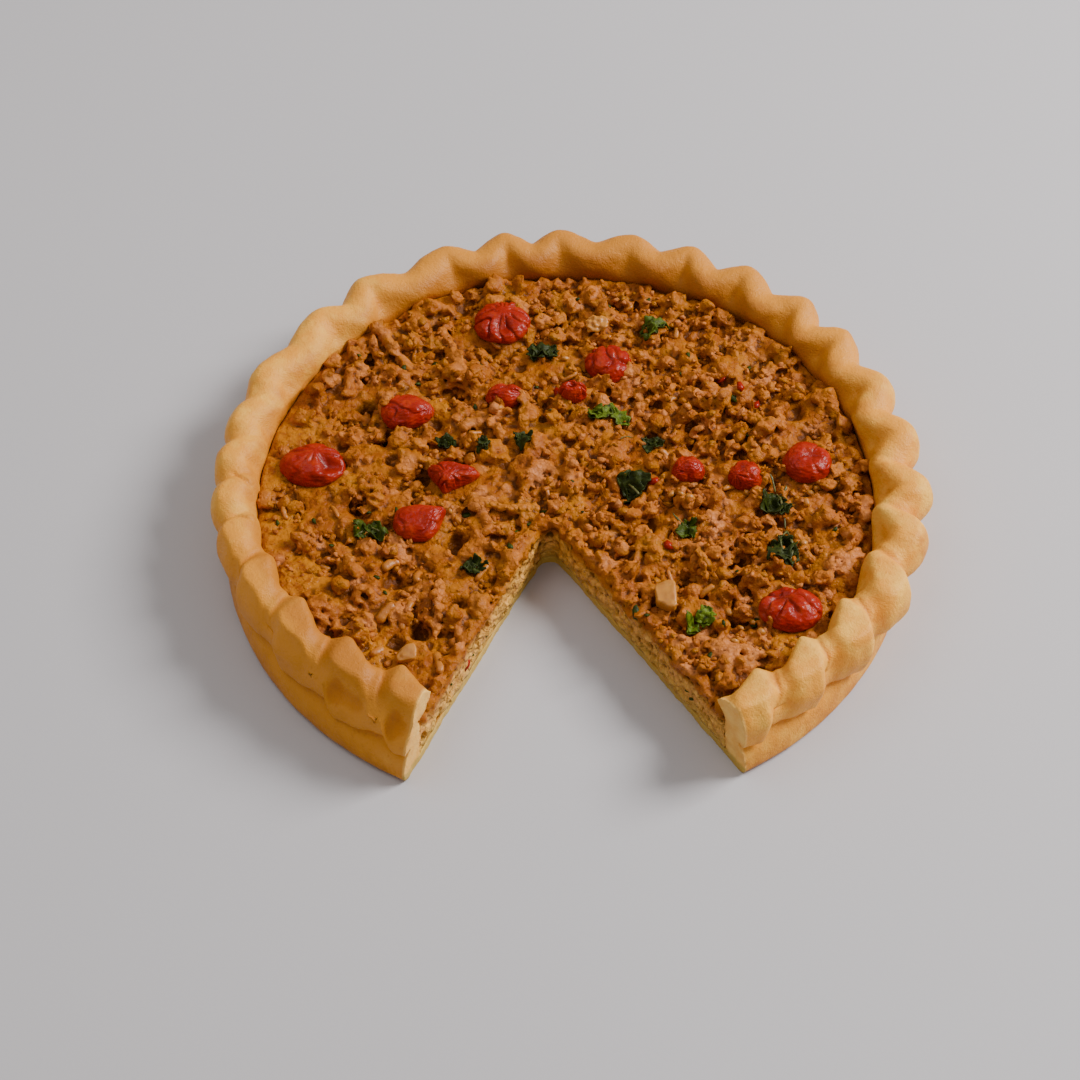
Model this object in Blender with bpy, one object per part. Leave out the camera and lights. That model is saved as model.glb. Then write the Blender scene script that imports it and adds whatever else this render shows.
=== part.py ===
"""Tuna tart with a sixth cut out of it.

A fluted pastry case holds a baked filling of tuna and custard, with cherry tomato pieces,
herb leaves and onion slices set in its top. Lengths are in metres and +Z is up. The origin is
in the base's underside, on the tart's axis, and the missing slice faces -Y.
"""
import math
import random

import bmesh
import bpy
from mathutils import Matrix, Vector, noise

MM = 0.001
GAP = 0.35 * MM
MERGE_DISTANCE = 0.004 * MM

# The pastry case's half section, from the base's middle up the wall, over the rim and back
# along the inside: radius, height, swing of the flutes and lift at a flute's crest, all in mm,
# and the share of the rim's lean
CASE_SECTION = (
    (0.0, 0.0, 0.0, 0.0, 0.0),
    (113.4, 0.0, 0.0, 0.0, 0.0),
    (115.6, 2.4, 0.0, 0.0, 0.0),
    (115.6, 15.4, 0.0, -2.4, 0.0),
    (117.4, 16.4, 1.5, -2.6, 0.0),
    (119.2, 20.4, 2.7, -1.0, 0.0),
    (118.0, 25.6, 2.5, 0.3, 0.1),
    (113.8, 28.4, 2.1, 0.5, 0.45),
    (107.2, 26.8, 2.4, 0.4, 1.0),
    (105.2, 23.2, 1.4, 0.0, 0.9),
    (103.5, 19.8, 0.0, 0.0, 0.0),
    (106.4, 3.0, 0.0, 0.0, 0.0),
    (0.0, 3.0, 0.0, 0.0, 0.0),
)
# The rim folds in over the filling on both sides of the slice: the middle and the reach of each
# lean in degrees, and how far it goes in mm
RIM_LEANS = (
    (237, 45, 9.0),
    (306, 45, 3.8),
)
# The rim is pinched by hand, so the crests' angles step unevenly
CREST_DEGREES = (
    9, 21, 33, 43, 55, 66, 77, 90, 100, 111, 127, 138, 154, 165, 174, 183,
    192, 203, 216, 229, 241, 252, 264, 276, 288, 301, 312, 323, 335, 347, 357,
)
STEPS_A_FLUTE = 6
FLUTE_UNEVENNESS = 0.22
FLUTE_SEED = 5

# The missing slice: where the two cuts would meet, their directions, and the blunt inner end
SLICE_APEX = Vector((-6.3 * MM, -9.6 * MM))
SLICE_LEFT_DEGREES = -116.5
SLICE_RIGHT_DEGREES = -56.5
SLICE_TIP_RADIUS = 4.4 * MM
SLICE_REACH = 150 * MM
SLICE_LOW = -20 * MM
SLICE_HIGH = 60 * MM
SLICE_TIP_STEPS = 6

# The filling's core fits the case's inside, and its top is bumpy at the size of tuna flakes
CASE_FLOOR = Vector(CASE_SECTION[-2][:2]) * MM
CASE_INNER_EDGE = Vector(CASE_SECTION[-3][:2]) * MM
FILLING_BOTTOM = CASE_FLOOR.y + GAP
FILLING_SIDE_GAP = 1.2 * GAP
FILLING_EDGE_RADIUS = CASE_INNER_EDGE.x - FILLING_SIDE_GAP
FILLING_TOP = 20.6 * MM
FILLING_RIM_DROP = 1.3 * MM
FILLING_LEVEL_RADIUS = 80 * MM
FILLING_EDGE_WIDTH = 6 * MM
FILLING_SIDES = 96
BUMP_CELL = 5.7 * MM
BUMP_HEIGHT = 3.4 * MM
BUMP_SCALE = 9.0 * MM
FLAKE_HEIGHT = 0.9 * MM
CELL_JITTER = 0.33
CORE_SEED = 11
FORMER_HEIGHT = 40 * MM

# Lumps of tuna and strips of cheese fused to the core
LUMP_COUNT = 92
LUMP_TRIES = 6000
LUMP_SEED = 23
LUMP_SPACING = 9.0 * MM
LUMP_SIZES = (3.2 * MM, 5.0 * MM)
LUMP_CRAGS = (0.8, 1.15)
LUMP_CLEARANCE = 1.0 * MM
LUMP_FLATNESS = 0.85
LUMP_LEAN = 0.25
LUMP_RISE = (0.3 * MM, 1.2 * MM)
STRIP_SHARE = 0.3
STRIP_STRETCH = 1.8
STRIP_WIDTH = 0.7

# Smooth pools of custard with no lumps: x, y and radius in mm
CUSTARD_POOLS = (
    (-94, 0, 13),
    (-80, -38, 17),
    (-72, 62, 10),
    (89, -33, 9),
)
POOL_BUMPS = 0.3

# Cherry tomato pieces: x, y, length, width, in mm, and turn in degrees
TOMATOES = (
    (-21.0, 79.0, 19, 18, 0),
    (16.1, 58.2, 16, 17, 20),
    (-53.6, 36.5, 19, 17, -20),
    (-85.3, 12.1, 21, 18, 15),
    (-38.4, 6.6, 19, 13, 10),
    (-48.4, -12.6, 21, 15, 35),
    (82.1, 10.8, 17, 17, 0),
    (41.3, 7.6, 13, 9, 30),
    (61.0, 5.0, 12, 12, 60),
    (71.5, -52.3, 22, 17, -25),
    (3.5, 44.7, 11, 8, 15),
    (-20.1, 43.3, 14, 9, -25),
)
TOMATO_CENTRE_HEIGHT = 20.8 * MM
TOMATO_HALF_HEIGHT = 4.8 * MM
TOMATO_WRINKLE = 0.2
TOMATO_WRINKLES = 1.6
POCKET_ROOM = 1.3

# Crumpled herb leaves: x, y, length, width, in mm, and turn in degrees
LEAVES = (
    (-7.3, 65.9, 15, 6, 15),
    (32.5, 75.4, 11, 9, 70),
    (15.6, 34.1, 15, 9, -10),
    (-15.3, 22.8, 10, 7, 60),
    (-40.8, 24.8, 9, 4, 10),
    (-27.3, 17.9, 9, 5, 100),
    (-65.1, -15.6, 12, 9, 20),
    (-30.8, -31.1, 10, 7, -20),
    (22.8, 2.2, 15, 7, 100),
    (30.5, 22.6, 13, 7, 75),
    (70.6, -8.2, 15, 6, 95),
    (71.6, -26.8, 17, 6, 85),
    (39.8, -16.7, 10, 7, -35),
    (42.1, -55.5, 12, 8, 25),
)
LEAF_THICKNESS = 0.8 * MM
LEAF_WAVE = 0.9 * MM
LEAF_WAVES = 4.2
LEAF_PHASE_STEP = 2.4
LEAF_END_WIDTH = 0.35
LEAF_CELLS = (4, 2)

# Pale onion slices: x, y, length, width, in mm, and turn in degrees
ONION_SLICES = (
    (-51.6, -66.8, 9, 7, 110),
    (31.3, -47.5, 13, 7, 60),
    (12.7, 76.8, 9, 7, 30),
)
ONION_THICKNESS = 1.6 * MM
ONION_TILT_DEGREES = 8
ONION_SIDES = 8
ONION_UNEVENNESS = 0.12
ONION_CUT = 0.6

# How high a thing laid on the filling stands clear of it, how far round a topping the filling
# is level, and over what width its bumps then rise
LAY_CLEARANCE = 0.55 * MM
LEVEL_MARGIN = 2.8 * MM
SMOOTH_MARGIN = 3.5 * MM

COLOURS = {
    "pastry": ((0.72, 0.47, 0.2, 1.0), 0.6),
    "filling": ((0.5, 0.2, 0.06, 1.0), 0.5),
    "tomato": ((0.55, 0.04, 0.02, 1.0), 0.3),
    "herb": ((0.03, 0.09, 0.02, 1.0), 0.5),
    "onion": ((0.75, 0.5, 0.24, 1.0), 0.35),
}


def clear_scene():
    """Remove every object that the file holds."""
    for thing in list(bpy.data.objects):
        bpy.data.objects.remove(thing, do_unlink=True)


def make_material(name):
    """A Principled material with the piece's colour and roughness."""
    colour, roughness = COLOURS[name]
    material = bpy.data.materials.new(name)
    material.use_nodes = True
    shader = material.node_tree.nodes["Principled BSDF"]
    shader.inputs["Base Color"].default_value = colour
    shader.inputs["Roughness"].default_value = roughness
    shader.inputs["Metallic"].default_value = 0.0
    return material


def make_object(name, shape, material=None, collection=None):
    """Turn a bmesh into an object in the scene, or in a collection of its own."""
    mesh = bpy.data.meshes.new(name)
    shape.to_mesh(mesh)
    shape.free()
    thing = bpy.data.objects.new(name, mesh)
    (collection or bpy.context.scene.collection).objects.link(thing)
    if material is not None:
        mesh.materials.append(material)
    return thing


def smooth_step(value):
    """0 up to 0, 1 from 1 on, and a smooth rise between."""
    held = min(max(value, 0.0), 1.0)
    return held * held * (3.0 - 2.0 * held)


def apply_boolean(thing, operation, tool=None, collection=None, solver="EXACT"):
    """Cut, join or keep a thing by another one, and remove what it was done with."""
    modifier = thing.modifiers.new(operation.lower(), "BOOLEAN")
    modifier.operation = operation
    modifier.solver = solver
    if collection is not None:
        modifier.operand_type = "COLLECTION"
        modifier.collection = collection
    else:
        modifier.object = tool
    bpy.context.view_layer.objects.active = thing
    bpy.ops.object.modifier_apply(modifier=modifier.name)
    used = [tool] if collection is None else list(collection.objects)
    for piece in used:
        bpy.data.objects.remove(piece, do_unlink=True)


def tidy_mesh(thing):
    """Merge the points that a cut leaves on each other."""
    shape = bmesh.new()
    shape.from_mesh(thing.data)
    bmesh.ops.remove_doubles(shape, verts=shape.verts, dist=MERGE_DISTANCE)
    bmesh.ops.dissolve_degenerate(shape, edges=shape.edges, dist=MERGE_DISTANCE)
    bmesh.ops.triangulate(shape, faces=shape.faces)
    shape.to_mesh(thing.data)
    shape.free()


def flute_angle(turns):
    """The angle of a point that is this many flutes on from the first crest."""
    flutes = len(CREST_DEGREES)
    whole = math.floor(turns)
    start = CREST_DEGREES[whole % flutes]
    end = CREST_DEGREES[(whole + 1) % flutes]
    width = (end - start) % 360
    return math.radians(start + width * (turns - whole))


def flute_strength(turns, strengths):
    """How deep the flutes are here, between the flutes' own depths."""
    whole = math.floor(turns)
    part = smooth_step(turns - whole)
    flutes = len(strengths)
    return strengths[whole % flutes] * (1 - part) + strengths[(whole + 1) % flutes] * part


def rim_lean(angle):
    """How far the rim leans in over the filling at an angle."""
    degrees = math.degrees(angle) % 360
    return max(
        depth * MM * smooth_step(1 - abs(degrees - middle) / reach)
        for middle, reach, depth in RIM_LEANS
    )


def build_crust(material):
    """Spin the case's section once round, then press the flutes into its rim."""
    flutes = len(CREST_DEGREES)
    steps = flutes * STEPS_A_FLUTE
    shape = bmesh.new()
    section = [shape.verts.new((row[0] * MM, 0, row[1] * MM)) for row in CASE_SECTION]
    edges = [shape.edges.new(pair) for pair in zip(section, section[1:])]
    bmesh.ops.spin(
        shape, geom=section + edges, cent=(0, 0, 0), axis=(0, 0, 1),
        angle=math.tau, steps=steps, use_merge=True,
    )
    bmesh.ops.remove_doubles(shape, verts=shape.verts, dist=MERGE_DISTANCE)
    draw = random.Random(FLUTE_SEED)
    strengths = [1 + draw.uniform(-FLUTE_UNEVENNESS, FLUTE_UNEVENNESS) for _ in range(flutes)]
    for vert in shape.verts:
        radius = vert.co.xy.length
        if radius < MERGE_DISTANCE:
            continue
        turns = (math.atan2(vert.co.y, vert.co.x) % math.tau) / math.tau * flutes
        row = min(
            CASE_SECTION,
            key=lambda place: abs(place[0] * MM - radius) + abs(place[1] * MM - vert.co.z),
        )
        wave = math.cos(math.tau * turns) * flute_strength(turns, strengths)
        angle = flute_angle(turns)
        radius += row[2] * MM * wave - row[4] * rim_lean(angle)
        vert.co = Vector((
            radius * math.cos(angle), radius * math.sin(angle), vert.co.z + row[3] * MM * wave,
        ))
    bmesh.ops.recalc_face_normals(shape, faces=shape.faces)
    crust = make_object("crust", shape, material)
    apply_boolean(crust, "DIFFERENCE", slice_cutter())
    tidy_mesh(crust)
    return crust


def slice_outline():
    """The missing slice seen from above: two straight cuts joined by a blunt round end."""
    left = math.radians(SLICE_LEFT_DEGREES)
    right = math.radians(SLICE_RIGHT_DEGREES)
    middle = (left + right) / 2
    half = (right - left) / 2
    centre = SLICE_APEX + Vector((math.cos(middle), math.sin(middle))) * (
        SLICE_TIP_RADIUS / math.sin(half))
    arc_start = right + math.pi / 2
    arc_end = left + math.tau - math.pi / 2
    outline = [
        centre + Vector((math.cos(angle), math.sin(angle))) * SLICE_TIP_RADIUS
        for angle in (
            arc_start + (arc_end - arc_start) * step / SLICE_TIP_STEPS
            for step in range(SLICE_TIP_STEPS + 1)
        )
    ]
    outline.append(SLICE_APEX + Vector((math.cos(left), math.sin(left))) * SLICE_REACH)
    outline.append(SLICE_APEX + Vector((math.cos(right), math.sin(right))) * SLICE_REACH)
    return outline


def slice_cutter():
    """A prism on the slice's outline, taller than the tart."""
    shape = bmesh.new()
    bottom = [shape.verts.new((point.x, point.y, SLICE_LOW)) for point in slice_outline()]
    face = shape.faces.new(bottom)
    raised = bmesh.ops.extrude_face_region(shape, geom=[face])
    for item in raised["geom"]:
        if isinstance(item, bmesh.types.BMVert):
            item.co.z = SLICE_HIGH
    bmesh.ops.recalc_face_normals(shape, faces=shape.faces)
    cutter = make_object("slice_cutter", shape)
    cutter.hide_render = True
    cutter.display_type = "WIRE"
    return cutter


def toppings():
    """Every topping's place and reach, as x, y and radius in metres."""
    rows = list(TOMATOES) + list(LEAVES) + list(ONION_SLICES)
    return [(x * MM, y * MM, max(length, width) / 2 * MM) for x, y, length, width, _ in rows]


def level_top(x, y):
    """The filling's height without its bumps: level, and a little lower at the pastry."""
    radius = math.hypot(x, y)
    slope = FILLING_EDGE_RADIUS - FILLING_LEVEL_RADIUS
    fall = smooth_step((radius - FILLING_LEVEL_RADIUS) / slope)
    return FILLING_TOP - FILLING_RIM_DROP * fall


def bump_share(x, y):
    """How bumpy the filling is: not at all under a topping, and less in a pool of custard."""
    share = 1.0
    for place_x, place_y, reach in toppings():
        distance = math.hypot(x - place_x, y - place_y) - reach - LEVEL_MARGIN
        share = min(share, smooth_step(distance / SMOOTH_MARGIN))
    for pool_x, pool_y, radius in CUSTARD_POOLS:
        distance = math.hypot(x - pool_x * MM, y - pool_y * MM) - radius * MM
        rise = smooth_step(distance / SMOOTH_MARGIN)
        share = min(share, POOL_BUMPS + (1 - POOL_BUMPS) * rise)
    edge = FILLING_EDGE_RADIUS - rim_lean(math.atan2(y, x)) - math.hypot(x, y)
    return share * smooth_step(edge / FILLING_EDGE_WIDTH)


def filling_top(x, y):
    """The filling's height at a place."""
    bump = noise.fractal(Vector((x, y, 0)) / BUMP_SCALE, 1.0, 2.0, 2)
    return level_top(x, y) + BUMP_HEIGHT * bump * bump_share(x, y)


def build_core():
    """A slab with a bumpy top, trimmed round to the inside of the pastry case."""
    draw = random.Random(CORE_SEED)
    reach = CASE_FLOOR.x + BUMP_CELL
    cells = round(2 * reach / BUMP_CELL)
    shape = bmesh.new()
    bmesh.ops.create_grid(shape, x_segments=cells, y_segments=cells, size=reach)
    top = list(shape.verts)
    for vert in top:
        inner = max(abs(vert.co.x), abs(vert.co.y)) < reach - BUMP_CELL / 2
        if inner:
            vert.co.x += draw.uniform(-CELL_JITTER, CELL_JITTER) * BUMP_CELL
            vert.co.y += draw.uniform(-CELL_JITTER, CELL_JITTER) * BUMP_CELL
        flake = draw.uniform(-FLAKE_HEIGHT, FLAKE_HEIGHT) * bump_share(vert.co.x, vert.co.y)
        vert.co.z = filling_top(vert.co.x, vert.co.y) + flake
    rim = [edge for edge in shape.edges if edge.is_boundary]
    skirt = bmesh.ops.extrude_edge_only(shape, edges=rim)
    lower = [item for item in skirt["geom"] if isinstance(item, bmesh.types.BMVert)]
    for vert in lower:
        vert.co.z = FILLING_BOTTOM
    bmesh.ops.holes_fill(shape, edges=[edge for edge in shape.edges if edge.is_boundary])
    bmesh.ops.recalc_face_normals(shape, faces=shape.faces)
    core = make_object("filling", shape)
    apply_boolean(core, "INTERSECT", round_former())
    return core


def round_former():
    """The tapered round block that the filling keeps within the pastry case."""
    shape = bmesh.new()
    taper = (CASE_INNER_EDGE.x - CASE_FLOOR.x) / (CASE_INNER_EDGE.y - CASE_FLOOR.y)
    bottom_radius = CASE_FLOOR.x - FILLING_SIDE_GAP
    bmesh.ops.create_cone(
        shape, cap_ends=True, segments=FILLING_SIDES, radius1=bottom_radius,
        radius2=bottom_radius + taper * FORMER_HEIGHT, depth=FORMER_HEIGHT,
    )
    lift = CASE_FLOOR.y + FORMER_HEIGHT / 2
    bmesh.ops.translate(shape, verts=shape.verts, vec=(0, 0, lift))
    former = make_object("round_former", shape)
    former.hide_render = True
    former.display_type = "WIRE"
    return former


def plan_lumps(draw):
    """Places, sizes and lengths of the lumps, spread evenly and clear of all but the core."""
    plan = []
    for _ in range(LUMP_TRIES):
        radius = FILLING_EDGE_RADIUS * math.sqrt(draw.random())
        angle = draw.uniform(0, math.tau)
        x, y = radius * math.cos(angle), radius * math.sin(angle)
        size = draw.uniform(*LUMP_SIZES)
        stretch = STRIP_STRETCH if draw.random() < STRIP_SHARE else draw.uniform(1.0, 1.3)
        reach = size * stretch * LUMP_CRAGS[1] + LUMP_CLEARANCE
        near_topping = any(
            math.hypot(x - px, y - py) < reach + spread for px, py, spread in toppings()
        )
        in_pool = any(
            math.hypot(x - px * MM, y - py * MM) < spread * MM for px, py, spread in CUSTARD_POOLS
        )
        crowded = any(math.hypot(x - px, y - py) < LUMP_SPACING for px, py, _, _ in plan)
        past_edge = radius + reach > FILLING_EDGE_RADIUS - rim_lean(angle)
        if not (near_topping or in_pool or crowded or past_edge or inside_slice(x, y)):
            plan.append((x, y, size, stretch))
    return plan[:LUMP_COUNT]


def inside_slice(x, y):
    """Whether a place lies between the two cuts."""
    offset = Vector((x, y)) - SLICE_APEX
    angle = math.degrees(math.atan2(offset.y, offset.x))
    return SLICE_LEFT_DEGREES < angle < SLICE_RIGHT_DEGREES


def add_lump(x, y, size, stretch, draw, collection):
    """One craggy lump, or a longer strip, sunk to about half in the core."""
    shape = bmesh.new()
    bmesh.ops.create_icosphere(shape, subdivisions=1, radius=size)
    for vert in shape.verts:
        vert.co *= draw.uniform(*LUMP_CRAGS)
    turn = Matrix.Rotation(draw.uniform(0, math.tau), 4, "Z")
    lean = Matrix.Rotation(draw.uniform(-LUMP_LEAN, LUMP_LEAN), 4, "Y")
    width = STRIP_WIDTH if stretch == STRIP_STRETCH else 1.0
    spread = Matrix.Diagonal((stretch, width, LUMP_FLATNESS, 1.0))
    place = Matrix.Translation((x, y, level_top(x, y) + draw.uniform(*LUMP_RISE)))
    bmesh.ops.transform(shape, matrix=place @ turn @ lean @ spread, verts=shape.verts)
    make_object("lump", shape, collection=collection)


def build_filling(material):
    """Fuse the lumps to the core, cut the slice out, and press in the tomatoes' pockets.

    The cuts through the fused lumps leave nothing with the exact solver, so they use the other.
    """
    filling = build_core()
    draw = random.Random(LUMP_SEED)
    lumps = bpy.data.collections.new("lumps")
    bpy.context.scene.collection.children.link(lumps)
    for x, y, size, stretch in plan_lumps(draw):
        add_lump(x, y, size, stretch, draw, lumps)
    apply_boolean(filling, "UNION", collection=lumps)
    bpy.data.collections.remove(lumps)
    apply_boolean(filling, "DIFFERENCE", slice_cutter(), solver="MANIFOLD")
    for number in range(len(TOMATOES)):
        pocket = make_object("pocket", tomato_shape(number, GAP * POCKET_ROOM))
        apply_boolean(filling, "DIFFERENCE", pocket, solver="MANIFOLD")
    filling.data.materials.append(material)
    return filling


def tomato_shape(number, margin):
    """A wrinkled half tomato, grown on every side by a margin for its pocket."""
    x, y, length, width, turn = TOMATOES[number]
    half = Vector((length / 2 * MM, width / 2 * MM, TOMATO_HALF_HEIGHT))
    offset = Vector((3.1, 1.7, 2.3)) * (number + 1)
    shape = bmesh.new()
    bmesh.ops.create_icosphere(shape, subdivisions=2, radius=1)
    for vert in shape.verts:
        wrinkle = 1 + TOMATO_WRINKLE * noise.noise(vert.co * TOMATO_WRINKLES + offset)
        vert.co = Vector([part * wrinkle * size for part, size in zip(vert.co, half)])
    shape.normal_update()
    for vert, push in [(vert, vert.normal.copy()) for vert in shape.verts]:
        vert.co += push * margin
    place = Matrix.Translation((x * MM, y * MM, TOMATO_CENTRE_HEIGHT))
    bmesh.ops.transform(
        shape, matrix=place @ Matrix.Rotation(math.radians(turn), 4, "Z"), verts=shape.verts)
    return shape


def build_tomatoes(material):
    """Each tomato piece sits in its pocket."""
    for number in range(len(TOMATOES)):
        make_object(f"tomato_{number + 1:02d}", tomato_shape(number, 0.0), material)


def thicken(shape, thickness):
    """Give a thin sheet an underside with the same triangles, and close its edge."""
    bmesh.ops.triangulate(shape, faces=shape.faces)
    top = list(shape.faces)
    copied = bmesh.ops.duplicate(shape, geom=shape.verts[:] + shape.edges[:] + top)
    under = [item for item in copied["geom"] if isinstance(item, bmesh.types.BMFace)]
    bmesh.ops.reverse_faces(shape, faces=under)
    lowered = {vert for face in under for vert in face.verts}
    for vert in lowered:
        vert.co.z -= thickness
    rims = [edge for edge in shape.edges if edge.is_boundary]
    bmesh.ops.bridge_loops(shape, edges=rims)
    bmesh.ops.triangulate(shape, faces=shape.faces)
    bmesh.ops.recalc_face_normals(shape, faces=shape.faces)


def build_leaf(number, material):
    """A crumpled leaf that lies on the filling."""
    x, y, length, width, turn = LEAVES[number]
    long_cells, cross_cells = LEAF_CELLS
    phase = number * LEAF_PHASE_STEP
    shape = bmesh.new()
    bmesh.ops.create_grid(shape, x_segments=long_cells, y_segments=cross_cells, size=1)
    for vert in shape.verts:
        along, across = vert.co.x, vert.co.y
        belly = LEAF_END_WIDTH + (1 - LEAF_END_WIDTH) * math.cos(along * math.pi / 2)
        lift = 0.5 + 0.5 * math.sin(along * LEAF_WAVES + across + phase)
        vert.co = Vector((
            along * length / 2 * MM,
            across * width / 2 * MM * belly,
            lift * LEAF_WAVE,
        ))
    thicken(shape, LEAF_THICKNESS)
    rest = level_top(x * MM, y * MM) + LAY_CLEARANCE + LEAF_THICKNESS
    place = Matrix.Translation((x * MM, y * MM, rest))
    bmesh.ops.transform(
        shape, matrix=place @ Matrix.Rotation(math.radians(turn), 4, "Z"), verts=shape.verts)
    return make_object(f"leaf_{number + 1:02d}", shape, material)


def build_onion_slice(number, material):
    """A thin slice with one straight cut side, lying a little tilted."""
    x, y, length, width, turn = ONION_SLICES[number]
    shape = bmesh.new()
    outline = []
    for step in range(ONION_SIDES):
        angle = math.tau * step / ONION_SIDES
        reach = 1 + ONION_UNEVENNESS * math.sin(3 * angle + number)
        outline.append(shape.verts.new((
            reach * math.cos(angle) * length / 2 * MM,
            max(reach * math.sin(angle), -ONION_CUT) * width / 2 * MM,
            0,
        )))
    shape.faces.new(outline)
    thicken(shape, ONION_THICKNESS)
    lean = math.radians(ONION_TILT_DEGREES)
    rise = length / 2 * MM * math.sin(lean)
    rest = level_top(x * MM, y * MM) + LAY_CLEARANCE + ONION_THICKNESS + rise
    place = Matrix.Translation((x * MM, y * MM, rest))
    spin = Matrix.Rotation(math.radians(turn), 4, "Z")
    bmesh.ops.transform(
        shape, matrix=place @ spin @ Matrix.Rotation(lean, 4, "Y"), verts=shape.verts)
    return make_object(f"onion_slice_{number + 1:02d}", shape, material)


def main():
    clear_scene()
    materials = {name: make_material(name) for name in COLOURS}
    build_crust(materials["pastry"])
    build_filling(materials["filling"])
    build_tomatoes(materials["tomato"])
    for number in range(len(LEAVES)):
        build_leaf(number, materials["herb"])
    for number in range(len(ONION_SLICES)):
        build_onion_slice(number, materials["onion"])


main()
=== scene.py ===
"""The looks of a tuna tart: pastry case, baked filling, toppings, floor, lights and camera.

Lengths are in metres unless a name or comment says mm. Each finished piece stands for the
solid whose place it takes, and its own place is in its mesh.
"""
import math
import random

import bmesh
import bpy
import numpy as np
from bpy.props import FloatProperty, FloatVectorProperty, IntProperty, PointerProperty
from mathutils import Matrix, Vector, kdtree, noise
from mathutils.bvhtree import BVHTree


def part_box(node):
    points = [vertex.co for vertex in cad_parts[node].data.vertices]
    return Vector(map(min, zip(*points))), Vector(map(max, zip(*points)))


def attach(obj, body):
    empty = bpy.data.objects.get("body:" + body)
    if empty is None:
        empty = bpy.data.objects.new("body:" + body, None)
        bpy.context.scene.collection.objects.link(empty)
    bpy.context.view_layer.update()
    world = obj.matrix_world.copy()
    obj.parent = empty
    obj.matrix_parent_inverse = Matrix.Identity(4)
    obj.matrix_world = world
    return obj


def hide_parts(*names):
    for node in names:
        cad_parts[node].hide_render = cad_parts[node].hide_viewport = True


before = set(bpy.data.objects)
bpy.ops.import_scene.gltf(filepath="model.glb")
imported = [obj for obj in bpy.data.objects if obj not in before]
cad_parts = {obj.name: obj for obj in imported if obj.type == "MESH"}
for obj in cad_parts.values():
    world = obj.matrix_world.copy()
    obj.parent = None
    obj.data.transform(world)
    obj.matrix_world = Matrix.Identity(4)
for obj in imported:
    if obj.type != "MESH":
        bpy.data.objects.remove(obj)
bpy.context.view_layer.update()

bl_info = {
    "name": "Tuna Tart",
    "version": (1, 0, 0),
    "blender": (4, 5, 0),
    "location": "3D View > Sidebar > Tart",
    "description": "Models and finishes a baked tuna tart with one slice cut out",
    "category": "Object",
}

MM = 0.001

# The stage: the floor's width, and the soft lights with place, width and share of the key's power
FLOOR_SIZE = 6.0
LIGHTS = {
    "key": ((1.1, 0.35, 0.95), 0.6, 1.0),
    "fill": ((-0.5, 0.3, 1.3), 0.9, 0.12),
}
ROOM_COLOUR = (1.0, 0.98, 0.96, 1.0)

# The photograph's camera, fitted to the rim, the foot and the cuts
PHOTO_PIXELS = 1080
FOCAL_PIXELS = 2500
SENSOR_MM = 36
CAMERA_TARGET = Vector((-0.0088, -0.0044, 0))
CAMERA_DISTANCE = 0.8546
CAMERA_TILT = math.radians(50.79)
CAMERA_ROLL = math.radians(-0.90)

# The case's half section: radius, height, swing of the outer flutes, swing of the inner lobes,
# lift at a crest, all in mm, shares of the two leans, and side from -0.5 inside to 0.5 outside
RIM_ROWS = (
    (113.0, 0.0, 0.0, 0.0, 0.0, 0.0, 0.0, 0.5),
    (115.2, 0.7, 0.0, 0.0, 0.0, 0.0, 0.0, 0.5),
    (115.8, 3.0, 0.0, 0.0, 0.0, 0.0, 0.0, 0.5),
    (115.6, 9.0, 0.1, 0.0, 0.0, 0.0, 0.18, 0.5),
    (114.6, 13.6, 0.3, 0.0, -0.8, 0.0, 0.52, 0.5),
    (117.0, 14.6, 1.2, 0.0, -1.6, 0.0, 0.6, 0.5),
    (118.6, 17.0, 2.2, 0.0, -2.0, 0.0, 0.75, 0.45),
    (119.4, 20.6, 2.8, 0.0, -1.2, 0.35, 0.7, 0.35),
    (118.2, 25.0, 2.6, 0.2, 0.3, 0.9, 0.4, 0.2),
    (115.6, 27.6, 2.0, 0.8, 0.8, 1.35, 0.0, 0.0),
    (111.8, 28.0, 1.0, 2.1, 0.6, 1.4, 0.0, -0.15),
    (108.2, 26.4, 0.2, 3.0, 0.3, 1.4, 0.0, -0.35),
    (105.6, 23.2, 0.0, 2.5, 0.0, 1.2, 0.0, -0.5),
    (104.0, 20.4, 0.0, 0.8, 0.0, 0.4, 0.0, -0.5),
    (103.7, 18.6, 0.0, 0.0, 0.0, 0.0, 0.0, -0.5),
)
# Round the rim: the angle, how far in the inner lobes and the lip lean in mm, the shares of the
# outer and inner swings, and how strongly and which way round the flutes lie over each other
RIM_ROUND = (
    (0, 0.0, 0.0, 1.0, 0.9, -0.3),
    (20, 0.0, 0.0, 1.0, 1.0, 0.0),
    (90, 0.0, 0.0, 1.0, 1.0, 0.0),
    (140, 0.0, 0.0, 0.9, 0.9, 0.0),
    (165, 0.2, 0.6, 0.4, 0.4, 0.15),
    (185, 0.6, 2.0, 0.2, 0.35, 0.3),
    (200, 3.2, 5.0, 0.1, 0.4, 0.75),
    (215, 5.2, 7.2, 0.12, 0.45, 1.0),
    (230, 7.6, 7.6, 0.1, 0.5, 1.0),
    (245, 9.2, 7.0, 0.1, 0.5, 1.0),
    (301, 4.4, 6.6, 0.15, 0.5, -1.0),
    (318, 3.0, 5.8, 0.25, 0.55, -1.0),
    (331, 0.9, 2.4, 0.6, 0.65, -0.9),
    (345, 0.0, 0.8, 0.9, 0.8, -0.6),
)
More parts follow.
